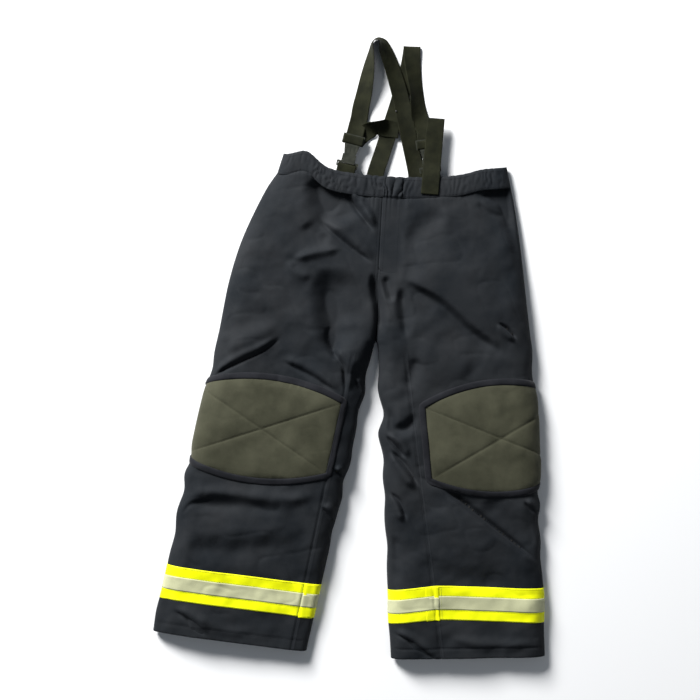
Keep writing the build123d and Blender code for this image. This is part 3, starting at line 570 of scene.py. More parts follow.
def ramp(tree, value, stops):
    node = add(tree, "ShaderNodeValToRGB", {"Fac": value})
    elements = node.color_ramp.elements
    while len(elements) < len(stops):
        elements.new(0.5)
    for element, (place, colour) in zip(elements, stops):
        element.position = place
        element.color = (*colour, 1)
    return node.outputs["Color"]


def maths(tree, operation, *values):
    """The output of a maths node that takes these numbers and sockets."""
    return add(tree, "ShaderNodeMath", dict(enumerate(values)), operation=operation).outputs[0]


def waves(tree, place, pitch, direction, distortion):
    """Ribs a pitch apart, in metres."""
    return add(tree, "ShaderNodeTexWave", {"Vector": place, "Scale": 0.314 / pitch, "Distortion": distortion},
               bands_direction=direction).outputs["Fac"]


def noise(tree, place, scale, detail, **inputs):
    inputs.update({"Vector": place, "Scale": scale, "Detail": detail})
    return add(tree, "ShaderNodeTexNoise", inputs).outputs["Fac"]


def set_bump(tree, surface, height, depth, strength):
    bump = add(tree, "ShaderNodeBump", {"Height": height, "Distance": depth, "Strength": strength})
    tree.links.new(bump.outputs["Normal"], surface.inputs["Normal"])


def cloth(name, colours, roughness, pitch, depth, patch=0.05, sheen=0.0, tint=(1, 1, 1), twill=False):
    """Woven cloth: two sets of threads, colour that varies from patch to patch, and a nap."""
    material, tree, surface = shader(name, roughness)
    surface.inputs["Sheen Weight"].default_value = sheen
    surface.inputs["Sheen Roughness"].default_value = 0.45
    surface.inputs["Sheen Tint"].default_value = (*tint, 1)
    surface.inputs["Specular IOR Level"].default_value = 0.14
    place = add(tree, "ShaderNodeTexCoord").outputs["UV"]
    if twill:
        turned = (0, 0, math.radians(27))
        place = add(tree, "ShaderNodeMapping", {"Vector": place, "Rotation": turned}).outputs[0]
    across = waves(tree, place, pitch, "X", 0.25)
    along = waves(tree, place, pitch, "Y", 0.25)
    threads = maths(tree, "MULTIPLY", across, along)
    body = add(tree, "ShaderNodeTexCoord").outputs["Object"]
    wide = noise(tree, body, 1 / patch, 5.0, Roughness=0.6)
    fine = noise(tree, body, 900.0, 2.0)
    mix = maths(tree, "MULTIPLY", threads, 0.28)
    mix = maths(tree, "ADD", wide, mix)
    mix = maths(tree, "MULTIPLY_ADD", fine, 0.25, mix)
    tree.links.new(ramp(tree, mix, [(0.45, colours[0]), (0.95, colours[1])]), surface.inputs["Base Color"])
    set_bump(tree, surface, maths(tree, "MULTIPLY_ADD", fine, 0.5, threads), depth, 0.55)
    return material


def plastic(name, colours, roughness, depth=0.00006, metallic=0.0, gloss=0.5):
    """Moulded plastic, thread or metal: patchy colour and roughness, and a fine grain."""
    material, tree, surface = shader(name, roughness, Metallic=metallic, Specular_IOR_Level=gloss)
    body = add(tree, "ShaderNodeTexCoord").outputs["Object"]
    wide = noise(tree, body, 120.0, 4.0)
    fine = noise(tree, body, 2400.0, 2.0)
    tree.links.new(ramp(tree, wide, [(0.3, colours[0]), (0.75, colours[1])]), surface.inputs["Base Color"])
    spread = {"Value": wide, "To Min": roughness - 0.08, "To Max": roughness + 0.12}
    rough = add(tree, "ShaderNodeMapRange", spread)
    tree.links.new(rough.outputs[0], surface.inputs["Roughness"])
    set_bump(tree, surface, fine, depth, 0.5)
    return material


def webbing_material():
    """Webbing: fine ribs along its length, closed by crosswise picks."""
    material, tree, surface = shader("webbing", 0.72, Specular_IOR_Level=0.08)
    place = add(tree, "ShaderNodeTexCoord").outputs["UV"]
    ribs = waves(tree, place, 0.0016, "X", 0.2)
    picks = waves(tree, place, 0.0011, "Y", 0.4)
    body = add(tree, "ShaderNodeTexCoord").outputs["Object"]
    wide = noise(tree, body, 45.0, 4.0)
    threads = maths(tree, "MULTIPLY", ribs, picks)
    mix = maths(tree, "MULTIPLY_ADD", threads, 0.35, wide)
    colour = ramp(tree, mix, [(0.35, (0.0066, 0.0074, 0.0036)), (0.95, (0.0205, 0.0215, 0.0105))])
    tree.links.new(colour, surface.inputs["Base Color"])
    set_bump(tree, surface, threads, 0.0004, 0.6)
    return material


def pair(*values):
    """Two colours from six numbers."""
    return [values[:3], values[3:]]


SHELL_CLOTH = cloth("shell_cloth", pair(0.0042, 0.0064, 0.0090, 0.0188, 0.0203, 0.0224), 0.8, 0.0011, 0.00018,
                    patch=0.11, sheen=0.02, tint=(0.8, 0.85, 1.0), twill=True)
KNEE_CLOTH = cloth("knee_cloth", pair(0.029, 0.0295, 0.0175, 0.064, 0.064, 0.041), 0.85, 0.0013, 0.0003,
                   patch=0.07, sheen=0.12, tint=(1.0, 0.95, 0.8))
BINDING = cloth("binding", pair(0.0048, 0.0054, 0.0075, 0.0125, 0.0132, 0.0165), 0.8, 0.0009, 0.00016,
                patch=0.04, sheen=0.1)
LINING = cloth("lining", pair(0.012, 0.012, 0.012, 0.03, 0.029, 0.027), 0.9, 0.0016, 0.0003, patch=0.03)
CUFF = cloth("cuff", pair(0.008, 0.008, 0.008, 0.016, 0.016, 0.016), 0.5, 0.002, 0.0001)
YELLOW_CLOTH = cloth("trim_yellow", pair(0.76, 0.79, 0.0, 0.95, 0.99, 0.006), 0.55, 0.0008, 0.00008,
                     patch=0.06)
SILVER_CLOTH = cloth("trim_silver", pair(0.41, 0.415, 0.25, 0.53, 0.535, 0.33), 0.42, 0.0006, 0.00005)
WEBBING = webbing_material()
THREAD = plastic("thread", pair(0.003, 0.0034, 0.005, 0.006, 0.0066, 0.009), 0.6, 0.00003, gloss=0.08)
YELLOW_THREAD = plastic("yellow_thread", pair(0.32, 0.40, 0.01, 0.42, 0.5, 0.02), 0.6, 0.00003)
OLIVE_THREAD = plastic("olive_thread", pair(0.02, 0.02, 0.011, 0.03, 0.028, 0.016), 0.6, 0.00003, gloss=0.1)
CLASP_PLASTIC = plastic("clasp_plastic", pair(0.011, 0.0125, 0.0075, 0.024, 0.026, 0.017), 0.42)
METAL = plastic("metal", pair(0.12, 0.10, 0.07, 0.2, 0.17, 0.12), 0.35, metallic=0.9)
DARK = plastic("dark_metal", pair(0.01, 0.01, 0.01, 0.02, 0.02, 0.02), 0.4)


def bend_at_fold(obj):
    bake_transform(obj)


def tube_object(name, points, material, merge=0.00002):
    rows, columns = points.shape[:2]
    faces = grid_faces(rows, columns)
    return make_object(name, points.reshape(-1, 3), faces, material, grid_uv(points), merge)


SHELLS = {}
for side in SIDE:
    main = ring(side, RING_ROWS)
    hem = row_of(LEG_LENGTH)
    turned = [
        ring(side, [hem], 0.9) + (0, -0.8, 0),
        ring(side, [hem], 2.0),
        ring(side, row_of([LEG_LENGTH - 6]), 2.4),
        ring(side, row_of([LEG_LENGTH - 40]), 2.6),
    ]
    points = np.concatenate([main, *turned])
    shell = tube_object(f"{side}_trouser_shell", points, SHELL_CLOTH)
    if side == "right":
        shell.data.flip_normals()
    SHELLS[side] = shell
    parts = ["front_panel", "back_panel", "inner_leg_panel",
             "shin_front_panel", "shin_back_panel", "shin_inner_panel"]
    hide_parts(*[f"{side}_{part}" for part in parts])

    lining_rows = np.concatenate([np.arange(0, SEAT_ROWS, 3.0), row_of(np.linspace(0, LEG_LENGTH - 74, 90))])
    lining = tube_object(f"{side}_lining", ring(side, lining_rows, LINING_INSET, 60, 40), LINING)
    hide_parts(f"{side}_shin_moisture_barrier", f"{side}_shin_liner")
    if side == "right":
        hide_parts("seat_moisture_barrier", "seat_liner")
        lining.data.flip_normals()
    cuff_rows = row_of(np.linspace(LEG_LENGTH - 84, LEG_LENGTH - 5, 22))
    cuff = tube_object(f"{side}_inner_cuff", ring(side, cuff_rows, CUFF_INSET, 60, 40), CUFF)
    if side == "right":
        cuff.data.flip_normals()
    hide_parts(f"{side}_hem_cuff")
    settle(cuff, f"{side}_shin")

# what stitches, flaps and straps lie on
TREE = {side: surface_of(shell) for side, shell in SHELLS.items()}


def drop(x, y):
    """Height and slope of the front's cloth at a point."""
    return drop_on(TREE["right" if x < 0 else "left"], x, y)


# --- trim ---
def trim_rise(side, x):
    """How much higher the trim runs where its ends meet at the inner seam."""
    return TRIM_RISE[side] * np.interp(x, [46, 163, 398], [0, 1, 0])


for side in SIDE:
    def band(low, high, count, lift):
        rows = row_of(np.linspace(low, high, count))
        points = [ring(side, rows[:1], 0.3), ring(side, rows, -lift), ring(side, rows[-1:], 0.3)]
        points = np.concatenate(points)
        lifts = np.concatenate([[-0.3], np.full(count, lift), [-0.3]])
        for row, rise in zip(points, lifts):
            row[:, 1] += trim_rise(side, row[:, 0])
            for point in row[4 : FRONT_COLUMNS - 4]:
                found = drop(point[0], point[1]) if TRIM_RISE[side] else None
                if found:
                    point[2] = found[0] + rise
        return points

    low, high = TRIM_LINE - TRIM_WIDTH / 2, TRIM_LINE + TRIM_WIDTH / 2
    yellow = tube_object(f"{side}_trim_band_yellow", band(low, high, 26, 0.7), YELLOW_CLOTH)
    silver = tube_object(f"{side}_trim_band_silver",
                         band(TRIM_LINE - TRIM_SILVER / 2, TRIM_LINE + TRIM_SILVER / 2, 12, 1.15),
                         SILVER_CLOTH)
    for piece, colour in ((yellow, "yellow"), (silver, "silver")):
        if side == "right":
            piece.data.flip_normals()
        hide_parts(f"{side}_trim_{colour}")
        settle(piece, f"{side}_shin")

# where each trim's ends overlap
for side in SIDE:
    seam_out = -HEM_WIDTH / 2 + {"right": 34.0, "left": 110.0}[side]
    down = np.linspace(TRIM_LINE - TRIM_WIDTH / 2 + 0.4, TRIM_LINE + TRIM_WIDTH / 2 + 0.4, 32)
    for name, inside, material, lift in (
        ("yellow", np.ones(32, bool), YELLOW_CLOTH, 1.5),
        ("silver", np.abs(down - TRIM_LINE) <= TRIM_SILVER / 2, SILVER_CLOTH, 1.95),
    ):
        levels = down[inside] + 1.6
        outs = np.linspace(seam_out, seam_out - 30, 14)
        D, OUT = np.meshgrid(levels, outs, indexing="ij")
        spot = leg_point(side, D + 0.02 * (OUT - seam_out), OUT)
        spot[..., 1] += trim_rise(side, spot[..., 0])
        z = np.array([[drop(*p)[0] if drop(*p) else np.nan for p in row] for row in spot])
        keep = ~np.isnan(z).any(0)
        z = z[:, keep] + lift * (1 - 0.5 * smoothstep(0, 1, (seam_out - OUT[:, keep]) / 30))
        z[:, 0] -= 0.5
        top = np.concatenate([spot[:, keep], z[..., None]], -1)
        if side == "right":
            top = top[:, ::-1]
        piece = slab(f"{side}_trim_lap_{name}", top, top - (0, 0, 1.0), material)
        settle(piece, f"{side}_shin")

# --- stitching ---
STITCH = np.array([[-1, -1, 0], [1, -1, 0], [1, 1, 0], [-1, 1, 0],
                   [-0.7, -0.4, 1], [0.7, -0.4, 1], [0.7, 0.4, 1], [-0.7, 0.4, 1]], float)
STITCH_FACES = np.array([[4, 5, 6, 7], [0, 1, 5, 4], [1, 2, 6, 5], [2, 3, 7, 6], [3, 0, 4, 7]])


def stitches(name, lines, material, pitch=3.4, length=2.4, wide=0.7, high=0.45, lift=0.05, surface=drop):
    """Rows of short stitches along lines on the front."""
    points, faces = [], []
    for line in lines:
        line = np.asarray(line, float)
        total = np.linalg.norm(np.diff(line, axis=0), axis=1).sum()
        path = resample(line, max(2, int(total / pitch) + 1))
        for a, b in zip(path, path[1:]):
            middle, step = (a + b) / 2, b - a
            found = surface(*middle[:2])
            if found is None:
                continue
            z, normal = found
            along = np.array([step[0], step[1], 0.0])
            along -= normal * (along @ normal)
            along /= np.linalg.norm(along)
            across = np.cross(normal, along)
            base = np.array([middle[0], middle[1], z]) + normal * lift
            start = len(points) * 8
            points.append(base + STITCH[:, :1] * along * length / 2 + STITCH[:, 1:2] * across * wide / 2
                          + (STITCH[:, 2:] * high - 0.15) * normal)
            faces.append(STITCH_FACES + start)
    return make_object(name, np.vstack(points), np.vstack(faces), material)


def beside(line, distance):
    line = np.asarray(line, float)
    step = np.gradient(line, axis=0)
    normal = np.stack([-step[:, 1], step[:, 0]], 1)
    normal /= np.linalg.norm(normal, axis=1)[:, None]
    return line + normal * distance


def inner_seam(side):
    first, last = INNER_SEAM[side]
    down = np.linspace(14, LEG_LENGTH - 3, 90)
    out = -half_width(down) + first + (last - first) * down / LEG_LENGTH
    return leg_point(side, down, out)


for side in SIDE:
    seam = inner_seam(side)
    hem_line = leg_point(side, LEG_LENGTH - 22.0 + 0 * np.linspace(0, 1, 60), np.linspace(-164, 164, 60))
    lines = [beside(seam, 2.2), beside(seam, 7.4), hem_line, beside(hem_line, 3.0)]
    obj = stitches(f"{side}_leg_stitching", lines, THREAD)
    bend_at_fold(obj)
    trim_lines = []
    for down in (-TRIM_WIDTH / 2 + 2.2, -TRIM_SILVER / 2 - 1.6, TRIM_SILVER / 2 + 1.6, TRIM_WIDTH / 2 - 2.2):
        line = leg_point(side, TRIM_LINE + down + 0 * np.linspace(0, 1, 60), np.linspace(-160, 160, 60))
        trim_lines.append(line + np.stack([0 * line[:, 0], trim_rise(side, line[:, 0])], 1))
    seam_out = -HEM_WIDTH / 2 + INNER_SEAM[side][1] + 0 * np.linspace(0, 1, 12)
    seam_down = TRIM_LINE + np.linspace(-36, 36, 12)
    trim_seam = [leg_point(side, seam_down, seam_out + offset) for offset in (-5, 4)]
    trim_seam = [line + (0, TRIM_RISE[side]) for line in trim_seam]
    obj = stitches(f"{side}_trim_stitching", trim_lines + trim_seam, YELLOW_THREAD, lift=1.0, wide=0.6)
    settle(obj, f"{side}_shin")

ys = np.linspace(RISE - BAND - 4, 24, 70)
centre = np.stack([FLY_FREE * smoothstep(90, 140, ys), ys], 1)
obj = stitches("centre_seam_stitching", [centre - (8, 0), centre[34:] + (3.5, 0)], THREAD)
settle(obj, "trousers")

# --- knee pads ---
def wrapped(side, across, along, lift):
    """Points at a distance across from the leg's centre, measured over its surface, and down the leg."""
    shape = across.shape
    across, along, lift = across.ravel(), along.ravel(), np.broadcast_to(lift, shape).ravel()
    levels = np.unique(np.round(along, 3))
    rows = ring(side, row_of(KNEE_LINE + levels), 0.0, 90, 40)
    result = np.zeros((len(across), 3))
    for k, level in enumerate(levels):
        line = rows[k, :110]
        steps = np.linalg.norm(np.diff(line, axis=0), axis=1)
        length = np.concatenate([[0], np.cumsum(steps)])
        middle = leg_point(side, KNEE_LINE + level, 0.0)
        zero = np.interp(0, (line[:90, 0] - middle[0]) * SIDE[side], length[:90])
        tangent = np.gradient(line, axis=0)
        tangent /= np.linalg.norm(tangent, axis=1)[:, None]
        normal = np.cross(tangent, (0, 1, 0)) * SIDE[side]
        normal /= np.linalg.norm(normal, axis=1)[:, None]
        mine = np.isclose(np.round(along, 3), level)
        at = np.clip(across[mine] + zero, 0, length[-1] - 1)
        spot = np.stack([np.interp(at, length, line[:, i]) for i in range(3)], 1)
        out = np.stack([np.interp(at, length, normal[:, i]) for i in range(3)], 1)
        result[mine] = spot + out * lift[mine][:, None]
    result[:, 2] = np.maximum(result[:, 2], 0.2)
    return result.reshape(*shape, 3)


def pad_half_length(side, share):
    return PAD_LENGTH[side] / 2 - (PAD_LENGTH[side] - PAD_END) / 2 * share**2


def sewn_at(side, across, along):
    """The pad's own directions turned and moved to where it is sewn on the leg."""
    turn = math.radians(PAD_TURN[side])
    return (PAD_OFFSET[side] + across * math.cos(turn) + along * math.sin(turn),
            along * math.cos(turn) - across * math.sin(turn) - PAD_RISE[side])


def on_cloth(side, across, along, lift):
    """Points of a pad laid on the leg, whose rows are worked out every 2 mm."""
    across, along = sewn_at(side, across, along)
    level = np.round(along / 2.0) * 2.0
    points = wrapped(side, across, level, lift)
    points[..., :2] += leg_point(side, KNEE_LINE + along, 0.0) - leg_point(side, KNEE_LINE + level, 0.0)
    return points


for side in SIDE:
    count_a, count_b = 161, 109
    a = np.linspace(-1, 1, count_a)
    b = np.linspace(-1, 1, count_b)
    A, B = np.meshgrid(a, b)
    crown = (1 - np.abs(A) ** 4) ** 0.5 * (1 - np.abs(B) ** 4) ** 0.5
    px, py = A * PAD_WIDTH / 2, B * pad_half_length(side, A)
    slope = PAD_END / PAD_WIDTH
    lines = [np.abs(py - slope * px), np.abs(py + slope * px)]
    groove = sum(0.6 * np.exp(-((line / 2.4) ** 2)) + 0.4 * np.exp(-((line / 9.0) ** 2)) for line in lines)
    dent = lattice_noise(px, py, 52, 31 + SIDE[side]) * 1.6 + lattice_noise(px, py, 22, 33) * 0.6
    lift = 1.2 + 6.0 * crown + dent * crown - 2.3 * np.clip(groove, 0, 1.2) * crown
    top, bottom = on_cloth(side, px, py, lift), on_cloth(side, px, py, 0.1)
    pad = slab(f"{side}_knee_pad", top, bottom, KNEE_CLOTH)
    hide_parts(f"{side}_knee_cover", f"{side}_knee_foam")
    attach(pad, "trousers")

    # binding round the pad
    loop_a = np.concatenate([a, np.ones(31), a[::-1], -np.ones(31)])
    end = np.linspace(-1, 1, 31)
    loop_b = np.concatenate([-np.ones(count_a), end, np.ones(count_a), np.linspace(1, -1, 31)])
    outline = np.stack([loop_a * PAD_WIDTH / 2, loop_b * pad_half_length(side, loop_a)], 1)
    keep = np.concatenate([[True], np.linalg.norm(np.diff(outline, axis=0), axis=1) > 1e-6])
    outline = outline[keep]
    closed = np.vstack([outline, outline[:1]])
    outline = resample(closed, 300)[:-1]
    step = np.roll(outline, -1, 0) - np.roll(outline, 1, 0)
    normal = np.stack([step[:, 1], -step[:, 0]], 1)
    normal /= np.linalg.norm(normal, axis=1)[:, None]
    profile = [(-2.5, 1.6), (-1.6, 3.6), (0.2, 4.4), (3.0, 4.5),
               (6.5, 4.0), (9.6, 3.3), (11.4, 2.3), (12.4, 0.1)]
    strips = []
    for reach, height in profile:
        spot = outline + normal * reach
        points = on_cloth(side, spot[None, :, 0], spot[None, :, 1], height)[0]
        strips.append(points)
    strips = np.array(strips)
    faces = grid_faces(len(profile), strips.shape[1], closed=True)
    binding = make_object(f"{side}_knee_binding", strips.reshape(-1, 3), faces, BINDING)
    face_out(binding)
    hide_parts(f"{side}_knee_border")
    settle(binding, "trousers")

# stitching along the quilting
for side in SIDE:
    on_pad = partial(drop_on, surface_of(bpy.data.objects[f"{side}_knee_pad"]))
    share = np.linspace(-0.985, 0.985, 90)
    lines = []
    for tilt in (-1, 1):
        out, down = sewn_at(side, share * PAD_WIDTH / 2, tilt * share * PAD_END / 2)
        lines.append(leg_point(side, KNEE_LINE + down, out)[out < 166])
    obj = stitches(f"{side}_knee_quilting", lines, OLIVE_THREAD, surface=on_pad, lift=0.0, wide=0.6)
    settle(obj, "trousers")

# --- waistband ---
def band_ring(height, inset):
    """One closed line round the waistband at a height above its lower edge."""
    share = height / BAND
    right = -(WAIST_HALF - WAIST_OFFSET) + WAIST_TAPER * share
    left = WAIST_HALF + WAIST_OFFSET - WAIST_TAPER * share
    t = column_shares(240)
    front_x = right + (left - right) * t
    back_x = front_x[::-1][1:-1]
    x = np.concatenate([front_x, back_x])
    front = np.concatenate([np.ones(len(front_x), bool), np.zeros(len(back_x), bool)])
    inner = np.clip(x, right + max(inset, 0), left - max(inset, 0))
    edge = np.minimum(inner - right, left - inner)
    y = RISE - BAND + waist_lift(x) + height + np.where(front, 0, 1.0)
    top = front_height(y)
    roll = dome(edge, 30)
    pull = gather(np.where(front, x, -x + 700), height + 0 * x) * gather_strength(x)
    mouth = math.sin(math.pi * min(max(share, 0.0), 1.0))
    puff = (0.25 + 0.9 * mouth) * pull + 1.2 * mouth
    z_front = SEAM_Z + (top - SEAM_Z - inset) * roll + puff * roll
    z_back = SEAM_Z * (1 - dome(edge, 16)) + (2.4 + inset + 0.5 * np.abs(pull)) * dome(edge, 16)
    y = y + 0.5 * pull * (share > 0.8)
    return np.stack([inner, y, np.maximum(np.where(front, z_front, z_back), 0.2)], 1)


profile = [(-2.0, 1.0), (-2.2, -0.3), (-1.0, -1.5), (3, -1.7), (8, -1.6), (13, -1.6), (18, -1.6), (23, -1.6),
           (28, -1.6), (33, -1.6), (38, -1.5), (42, -1.3), (44.6, -0.4), (45.6, 1.0), (44.8, 2.6), (42, 3.6),
           (34, 4.0), (24, 4.2), (12, 4.4), (0, 4.4)]
rings = np.array([band_ring(h, i) for h, i in profile])
faces = grid_faces(len(profile), rings.shape[1], closed=True)
band_object = make_object("waistband", rings.reshape(-1, 3), faces, SHELL_CLOTH, grid_uv(rings))
face_out(band_object)
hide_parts("right_waistband_front", "left_waistband_front", "waistband_back",
            "waistband_elastic", "waist_snap_stud")
settle(band_object, "trousers")

drop_band = partial(drop_on, surface_of(band_object))
xs = np.linspace(-226, 262, 120)
band_lines = [np.stack([xs, RISE - BAND + waist_lift(xs) + h], 1) for h in (3.5, 38.0)]
obj = stitches("waistband_stitching", band_lines, THREAD, surface=drop_band)
settle(obj, "trousers")

# --- fly ---
def centre_height(x, y):
    """The front's height near the centre seam, as ring() gives it, without the hollow under the fly."""
    width = WAIST_HALF + WAIST_OFFSET + 10.0
    swell = 3.0 * np.sin(np.clip(np.abs(x) / width, 0, 1) * math.pi) * smoothstep(0, 110, RISE - BAND - y)
    return front_height(y) + swell + front_relief("left", x, y, under_fly=False)


fly_y = np.linspace(FLY_LOW - 5, RISE - 1.0, 110)
fly_x = np.linspace(0, 1, 27)
Y, SHARE = np.meshgrid(fly_y, fly_x, indexing="ij")
corner = 12 * (1 - smoothstep(FLY_LOW - 5, FLY_LOW + 14, Y)) ** 2
X = FLY_FREE + corner + (FLY_LEFT - FLY_FREE - corner) * SHARE
on_band = smoothstep(RISE - BAND - 3, RISE - BAND + 3, Y)
low_end = smoothstep(FLY_LOW, FLY_LOW + 14, Y)
free = 0.1 + 1.2 * (1 - smoothstep(0.2, 0.86, SHARE) * (1 - on_band)) * low_end
free -= smoothstep(0.93, 1.0, SHARE) * (1 - 0.6 * on_band) + 0.9 * (1 - smoothstep(FLY_LOW - 5, FLY_LOW, Y))
round_edge = 1 - 0.7 * np.exp(-(X - X[:, :1]) / 1.0)
pull = gather(X, Y - RISE + BAND) * gather_strength(X)
share_up = np.clip((Y - RISE + BAND) / BAND, 0, 1)
bulge = np.sin(math.pi * share_up)
band_top = front_height(Y) + 2.6 + (0.25 + 0.9 * bulge) * pull + 1.2 * bulge
height = centre_height(X, Y) * (1 - on_band) + band_top * on_band
flap_top = np.stack([X, Y, height + free * round_edge], -1)
flap_bottom = flap_top - (0, 0, 1.3)
flap = slab("fly_front_flap", flap_top, flap_bottom, SHELL_CLOTH)
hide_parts("fly_flap", "waist_tab", "waist_snap_cap")
settle(flap, "fly")
drop_flap = partial(drop_on, surface_of(flap))
ys = np.linspace(FLY_LOW + 2, RISE - 5, 60)
obj = stitches("fly_flap_stitching", [np.stack([FLY_FREE + 8.5 + 0 * ys, ys], 1)], THREAD, surface=drop_flap)
settle(obj, "fly")

for name, material in {"zip_tapes": BINDING, "zip_teeth": METAL, "zip_slider": METAL, "zip_puller": METAL,
                       "fly_shield": SHELL_CLOTH}.items():
    NODES[name].data.materials.clear()
    NODES[name].data.materials.append(material)
for side in SIDE:
    for part in ("receiver", "clasp_body", "inner_prong", "outer_prong"):
        node = NODES[f"{side}_{part}"]
        node.data.materials.clear()
        node.data.materials.append(CLASP_PLASTIC)

# --- webbing ---
HALF_SECTION = [(-1, 0), (-0.985, 0.6), (-0.93, 0.95), (-0.86, 1.0), (-0.84, 0.86), (0, 0.9), (0.84, 0.86),
                (0.86, 1.0), (0.93, 0.95), (0.985, 0.6)]
SECTION = HALF_SECTION + [(1, 0), (0.985, -0.6), (0.93, -0.95), (0.86, -1.0), (0, -0.9), (-0.86, -1.0),
                          (-0.93, -0.95), (-0.985, -0.6)]


def ribbon(name, stations, width=40.0, thick=1.9, spacing=2.5):
    """A strap through stations (x, y, z, and its width's direction), all in garment millimetres."""
    data = np.array([[*p, *np.asarray(d, float) / np.linalg.norm(d)] for p, d in stations])
    length = np.linalg.norm(np.diff(data[:, :3], axis=0), axis=1).sum()
    path = curve_through(data, max(8, int(length / spacing)))
    centre, wide = path[:, :3], path[:, 3:]
    tangent = np.gradient(centre, axis=0)
    tangent /= np.linalg.norm(tangent, axis=1)[:, None]
    wide = wide - tangent * (wide * tangent).sum(1)[:, None]
    wide /= np.linalg.norm(wide, axis=1)[:, None]
    normal = np.cross(wide, tangent)
    section = np.array(SECTION)
    points = (centre[:, None] + wide[:, None] * section[None, :, :1] * width / 2
              + normal[:, None] * section[None, :, 1:] * thick / 2)
    rows, columns = points.shape[:2]
    faces = [list(f) for f in grid_faces(rows, columns, closed=True)]
    faces.append(list(range(columns))[::-1])
    faces.append(list(range((rows - 1) * columns, rows * columns)))
    run = np.concatenate([[0], np.cumsum(np.linalg.norm(np.diff(centre, axis=0), axis=1))])
    across = np.broadcast_to(section[:, 0] * width / 2, (rows, columns))
    uv = np.stack([across, np.repeat(run[:, None], columns, 1)], -1)
    obj = make_object(name, points.reshape(-1, 3), faces, WEBBING, uv.reshape(-1, 2))
    face_out(obj)
    return obj


def clasp_station(side, u, z):
    h = math.radians(CLASP_HEADING[side])
    x, y = CLASP_BAR[side]
    return ((x + u * math.sin(h), y + u * math.cos(h), z), (math.cos(h), -math.sin(h), 0))


def tilted(x, y, z, heading, tilt):
    """A station whose strap is heading that way seen from above, with its right edge raised by a tilt."""
    h, t = math.radians(heading), math.radians(tilt)
    return ((x, y, z), (math.cos(h) * math.cos(t), -math.sin(h) * math.cos(t), math.sin(t)))


def through_adjuster(side):
    return [clasp_station(side, u, z) for u, z in [
        (71, 8.4), (62, 8.3), (57.5, 8.9), (56.4, 11), (56.4, 15), (57.6, 17.1), (61, 17.5), (64.4, 17.1),
        (65.6, 15), (65.6, 12.2), (67, 10.9), (71, 10.6), (78, 10.0), (95, 6.9), (112, 4.4)]]


right_front = through_adjuster("right") + [
    tilted(-63.0, 514, 4.8, 11, 8), tilted(-57.8, 545, 8.6, 9, 22), tilted(-53.4, 580, 13.3, 7, 38),
    tilted(-50.0, 612, 16.8, 5, 56), tilted(-48.0, 638, 19.2, 6, 74), tilted(-47.6, 650, 20.0, 14, 82),
    tilted(-44.8, 658.5, 20.5, 44, 82), tilted(-38.6, 662.5, 20.2, 72, 76),
    tilted(-36.4, 663.2, 20.0, 78, 73)]
obj = ribbon("right_brace_front", right_front, width=38.0)
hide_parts("right_clasp_strap")
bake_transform(obj)

right_back = [
    tilted(-38.6, 662.5, 20.2, 72, 76), tilted(-31.0, 662.6, 18.6, 104, 64),
    tilted(-22.5, 655.5, 16.6, 132, 48),
    tilted(-17.0, 643.5, 14.6, 150, 37), tilted(-8.0, 624, 12.4, 157, 29), tilted(3.5, 597, 10.4, 160, 20),
    tilted(18.5, 555, 8.8, 162, 11), tilted(26.5, 528, 8.2, 163, 6), tilted(36.0, 492, 9.0, 163, 2),
    tilted(49.0, 444, 6.6, 163, 8), tilted(60.0, 404, 5.0, 163, 10), tilted(66.5, 380, 6.8, 163, 3),
    tilted(69.0, 366, 7.4, 163, 0), tilted(73.0, 349, 7.4, 163, 0)]
obj = ribbon("right_brace_back", right_back, width=37.0)
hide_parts("right_brace")
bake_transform(obj)

left_front = through_adjuster("left")[:-1] + [
    tilted(70.0, 492, 5.6, -12, -6), tilted(62.5, 522, 9.0, -11, -26), tilted(57.0, 555, 11.5, -10, -36),
    tilted(51.0, 583, 10.5, -9, -30), tilted(46.0, 610, 8.0, -8, -18), tilted(43.0, 634, 6.0, -5, -6),
    tilted(42.0, 648, 4.9, -2, 0), tilted(41.8, 653.0, 4.3, 0, 0), tilted(41.7, 654.6, 3.2, 1, 0)]
obj = ribbon("left_brace_front", left_front, width=38.0)
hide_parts("left_clasp_strap")
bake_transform(obj)

left_back = [
    tilted(41.7, 654.6, 3.2, 1, 0), tilted(41.7, 653.0, 1.9, 4, 0), tilted(41.2, 646, 1.5, 8, 0),
    tilted(37.5, 612, 2.2, 12, -3), tilted(31.0, 580, 1.4, 14, 0), tilted(19.0, 528, 1.3, 15, 0),
    tilted(8.0, 486, 2.3, 16, 3), tilted(-4.0, 440, 4.0, 16, 8), tilted(-14.0, 402, 4.6, 15, 8),
    tilted(-20.0, 380, 6.8, 14, 2), tilted(-23.0, 366, 7.4, 13, 0), tilted(-27.0, 349, 7.4, 13, 0)]
obj = ribbon("left_brace_back", left_back, width=37.0)
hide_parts("left_brace")
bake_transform(obj)

tail = [((103.4, 497.0, 20.0), (1, -0.1, 0)), ((103.2, 488, 20.6), (1, -0.1, 0)),
        ((102.6, 470, 21.2), (1, -0.06, 0)), ((101.6, 440, 20.9), (1, -0.03, 0)),
        ((100.6, 404, 21.6), (1, -0.02, 0)), ((100, 386, 24.5), (1, 0, 0)),
        ((99.6, 372, 27.6), (1, 0, 0)), ((99, 352, 29.8), (1, 0.04, 0)), ((98.6, 338, 30.2), (1, 0.1, 0)),
        ((98.4, 328, 29.8), (1, 0.16, 0))]
obj = ribbon("left_strap_loose_end", tail, width=38.5)
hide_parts("left_strap_tail", "strap_anchors")
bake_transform(obj)

